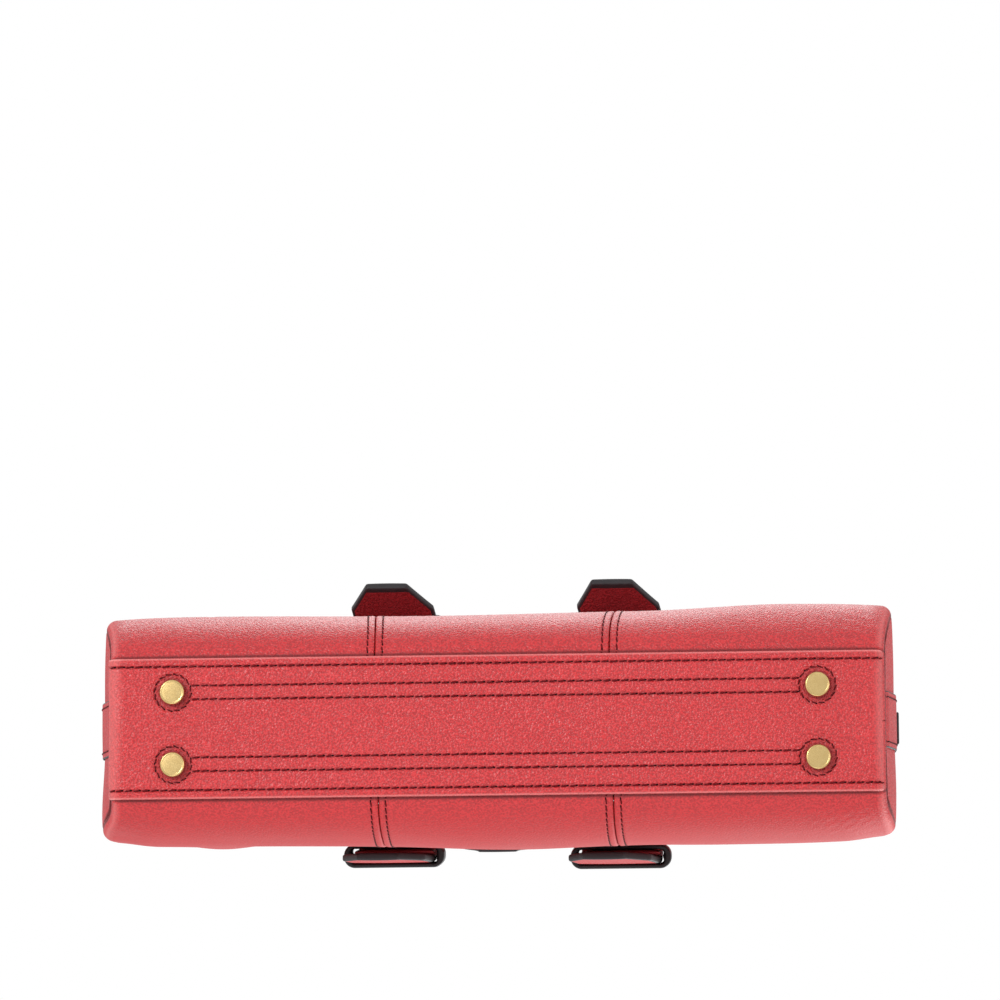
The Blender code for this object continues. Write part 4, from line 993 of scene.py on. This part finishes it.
leg = np.linspace(0.0305, 0.12, 50)
roll_run = np.concatenate([leg, np.linspace(0.12, 0.88, 60)[1:-1], 1 - leg[::-1]])
grip_end = GRIP_START + np.array([0, 0.05, 0.2, 0.5, 0.9, 1.4, 2.0]) / 264
grip_run = np.linspace(GRIP_START + 0.011, 1 - GRIP_START - 0.011, 190)
grip_run = np.concatenate([grip_end, grip_run, 1 - grip_end[::-1]])
grip_turn = np.arange(48) * 2 * np.pi / 48
seam = np.minimum(grip_turn, 2 * np.pi - grip_turn) * GRIP
ends = np.minimum(grip_run - GRIP_START, 1 - GRIP_START - grip_run)[:, None] * 0.264
radius = GRIP - rounded_rim(np.clip(ends, 0, 1), 0.0013)
radius = radius - 0.0006 * bell(seam, 0, 0.0004) + 0.00025 * bell(seam, 0.0012, 0.0006)
radius = radius - 0.00018 * bell(seam, 0.0023, 0.0004)
creased = bell(seam, 0, 0.009) * smooth(0.02, 0.05, ends)
radius = radius + 0.00009 * creased * np.sin(2 * np.pi * grip_run[:, None] / 0.011)
for side_name, side in SIDES.items():
    body = f"{side_name}_handle"
    rings = handle_tube(roll_run, roll_size, np.arange(40) * 2 * np.pi / 40, side)
    core = skin(f"{body}_roll", rings, tube_quads(len(rings), 40)[:, ::-1], [RED_LEATHER])
    fit(core, f"handle_roll_{side_name}", body=body)
    rings = handle_tube(grip_run, lambda z: (radius, radius, 2.0), grip_turn, side)
    grip = skin(f"{body}_wrap", rings, tube_quads(len(rings), 48)[:, ::-1], [RED_LEATHER])
    fit(grip, f"handle_wrap_{side_name}", body=body)
    turn = np.array([-GRIP_SEAM, GRIP_SEAM])
    near, far = (
        handle_tube(grip_run[8:-8], lambda z: (reach, reach, 2.0), turn, side) for reach in (0.00705, 0.00805)
    )
    sewing(f"{body}_stitching", [stitches(near[:, k], unit(far - near)[:, k]) for k in range(2)], body)

# Handle folds: each leg is the same strap on its way from the wall to the handle, bending at the
# rim, with its edges painted as the strap's are.
fold_turn = np.arange(40) * 2 * np.pi / 40
fold_edge = np.abs(np.cos(fold_turn + np.pi / 40)) > 0.86
for side_name, side in SIDES.items():
    body = f"{side_name}_handle"
    high = handle_place(np.array([[0, -side * 0.0025, z] for z in (0.0082, 0.0092, 0.0102)]), side)
    low_y = side * 0.04215
    knots = np.array([[low_y, 0.2290], [low_y, 0.2310], [low_y * 0.998, 0.2345], *high[:, 1:]])
    run = path_run(knots)
    at = np.linspace(0, run[-1], 40)
    y, z = (np.polyval(np.polyfit(run, column, 4), at) for column in knots.T)
    thick = 0.00152 + 0.0011 * smooth(0.3, 1.0, at / run[-1])
    wide = np.interp(z, [0.229, 0.2382, 0.2485], [strap_half(0.229, 0.12), 0.0111, 0.0105])
    tilt_y, tilt_z = unit(joined(np.gradient(y), np.gradient(z))).T
    across, off = rounded_square(fold_turn, 6)
    across, off = wide[:, None] * across, thick[:, None] * off
    y, z = y[:, None] + off * tilt_z[:, None], z[:, None] - off * tilt_y[:, None]
    quads = tube_quads(40, 40)[:, ::-1]
    worn = np.concatenate([np.tile(fold_edge, 39), np.zeros(len(quads) - 39 * 40, int)])
    for end_name, end in ENDS.items():
        rings = joined(end * SEAM + across, y, z)
        fold = skin(f"{body}_fold_{end_name}", rings, quads, [RED_LEATHER, EDGE_PAINT], worn)
        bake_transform(fold)

# Closing flap: a doubled strap sewn flat to the back wall, free to bend over the rim, across the
# open top and down the front, where a steel plate in its end meets a magnet behind the wall.
FLAP_HALF, FLAP_THICK, FLAP_LOW = 0.017, 0.0024, 0.158
OVER_Y, OVER_Z, OVER_BEND = 0.0347, 0.2364, 0.007
anchor_z = np.linspace(0.195, 0.2345, 34)
anchor = joined(wall_depth(anchor_z) + 0.0017, anchor_z)
turn = np.radians(np.linspace(0, 90, 20))
over_rim = joined(OVER_Y + OVER_BEND * np.cos(turn), OVER_Z + OVER_BEND * np.sin(turn))
across_y = np.linspace(OVER_Y, -OVER_Y, 60)[1:-1]
sag = 0.0006 * np.cos(across_y / OVER_Y * np.pi / 2) ** 2
span = joined(across_y, OVER_Z + OVER_BEND - sag)
leg_z = np.linspace(0.2336, FLAP_LOW, 66)
leg_y = wall_depth(leg_z) + 0.0012 + 0.0005 * smooth(0.163, FLAP_LOW, leg_z)
flap_path = np.concatenate([anchor, over_rim, span, over_rim[::-1] * [-1, 1], joined(-leg_y, leg_z)])
run = path_run(flap_path)
even = np.linspace(0.0015, run[-1] - 0.0015, 210)
even = np.concatenate([RIM_STEPS, even, run[-1] - RIM_STEPS[::-1]])
flap_path = path_at(flap_path, run, even)
kernel = np.hanning(9) / np.hanning(9).sum()
eased = [np.convolve(np.pad(column, 4, "edge"), kernel, "valid") for column in flap_path.T]
flap_path[8:-8] = np.stack(eased, -1)[8:-8]
to_end = even[-1] - even
line = joined(0.0058 * smooth(0.12, 0.0, to_end), flap_path[:, 0], flap_path[:, 1])
across = np.array([1.0, 0, 0])
out = path_out(line, across)
out = out * np.sign(out[0, 1])
half = FLAP_HALF - 0.0085 * np.clip(1 - to_end / 0.02, 0, 1)
face, back = strip_faces(line, out, across, half, FLAP_THICK, 0.0001, 0.0009)
flap = cut_piece("closing_strap", face, back, [RED_LEATHER, EDGE_PAINT], (4, 4))
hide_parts("closing_flap", "flap_anchor")
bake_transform(flap)
inside = np.flatnonzero((even > 0.0026) & (to_end > 0.02))
sewn = []
for sign in (-1, 1):
    row = line + sign * (half - 0.0026)[:, None] * across + 0.00122 * out
    sewn.append(stitches(row[inside], out[inside]))
for k in (inside[0], inside[-1]):
    row = line[k] + np.linspace(-0.0142, 0.0142, 20)[:, None] * across + 0.00125 * out[k]
    sewn.append(stitches(row, np.tile(out[k], (len(row), 1))))
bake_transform(sewing("closing_strap_stitching", sewn, None))
for name in ("flap_plate", "wall_magnet"):
    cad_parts[name].material_slots[0].material = PLATED_STEEL

# Studio: a pale floor just under the feet that is clear from below, soft lamps over and under it,
# and a white surround that the camera and the gloss see at full strength.
FLOOR_HALF, FLOOR_Z = 9, -0.0006
floor_mesh = bpy.data.meshes.new("floor")
corners = [(x * FLOOR_HALF, y * FLOOR_HALF, FLOOR_Z) for x, y in ((-1, -1), (1, -1), (1, 1), (-1, 1))]
floor_mesh.from_pydata(corners, [], [(0, 1, 2, 3)])
floor = bpy.data.objects.new("floor", floor_mesh)
bpy.context.scene.collection.objects.link(floor)
paper, tree, shader, place = new_material("matt paper, white")
grain = add_node(tree, "TexNoise", {"Vector": place, "Scale": 1 / 0.004, "Detail": 2.0})
bump = add_node(tree, "Bump", {"Height": grain, "Strength": 0.05, "Distance": 0.0001})
feed(shader, {"Normal": bump, "Base Color": "#F4F3F1", "Roughness": 0.9, "Specular IOR Level": 0.1})
camera_ray = add_node(tree, "LightPath", None, "Is Camera Ray")
below = add_node(tree, "NewGeometry", None, "Backfacing")
unseen = add_node(tree, "Math", {0: 1.0, 1: camera_ray}, operation="SUBTRACT")
clear = add_node(tree, "Math", {0: unseen, 1: below}, operation="MAXIMUM")
glass = add_node(tree, "BsdfTransparent")
mix = add_node(tree, "MixShader", {0: clear, 1: shader.outputs[0], 2: glass})
feed(tree.nodes["Material Output"], {"Surface": mix})
floor_mesh.materials.append(paper)

world = bpy.data.worlds.new("white surround")
bpy.context.scene.world = world
world.use_nodes = True
tree = world.node_tree
ray = add_node(tree, "LightPath", None, "Is Camera Ray").node.outputs
mirrored = add_node(tree, "Math", {0: ray["Is Camera Ray"], 1: ray["Is Glossy Ray"]}, operation="MAXIMUM")
seen = add_node(tree, "Math", {0: mirrored, 1: ray["Is Transmission Ray"]}, operation="MAXIMUM")
strength = add_node(tree, "MapRange", {"Value": seen, "To Min": 0.87})
feed(tree.nodes["Background"], {"Color": (1, 1, 1, 1), "Strength": strength})


def aimed(place, aim, up):
    """A place and turn that look at a point, with up as near the top as it can be."""
    away = unit(np.array(place, float) - aim)
    right = unit(np.cross(up, away))
    stand = np.eye(4)
    stand[:3] = joined(right, np.cross(away, right), away, place)
    return Matrix(stand.tolist())


def soft_lamp(name, place, aim, size, power):
    """A square lamp turned to face a point."""
    data = bpy.data.lights.new(name, "AREA")
    data.size = size
    data.energy = power
    lamp = bpy.data.objects.new(name, data)
    lamp.matrix_world = aimed(place, aim, (0, 1, 0.01))
    bpy.context.scene.collection.objects.link(lamp)


soft_lamp("key_below", (1.0, 0.6, -1.9), (0, 0, 0.05), 0.4, 24)
soft_lamp("front_below", (0.1, -1.6, -0.9), (0, 0, 0.03), 1.2, 5)
soft_lamp("left_below", (-1.7, 0.0, -0.8), (0, 0, 0.03), 1.0, 6)
soft_lamp("key_above", (-0.9, -1.3, 1.9), (0, 0, 0.15), 1.2, 20)
soft_lamp("back_above", (0.0, 1.1, 1.6), (0, 0, 0.1), 0.9, 6)

# Camera: under the bag and a little to its front and left, with a long lens, looking up with the
# back of the bag at the top of the picture.
camera_data = bpy.data.cameras.new("camera")
camera_data.lens = 211.88
camera_data.sensor_width = 36
camera_data.clip_end = 100
camera = bpy.data.objects.new("camera", camera_data)
bpy.context.scene.collection.objects.link(camera)
eye = np.array([-0.1081, -0.1247, -2.49]) - MIDDLE
subject = np.array([-0.00325, 0.09576, 0.005]) - MIDDLE
tilt = np.radians(-0.579)
camera.matrix_world = aimed(eye, subject, (np.sin(tilt), np.cos(tilt), 0))
bpy.context.scene.camera = camera
bpy.context.scene.view_settings.view_transform = "Standard"
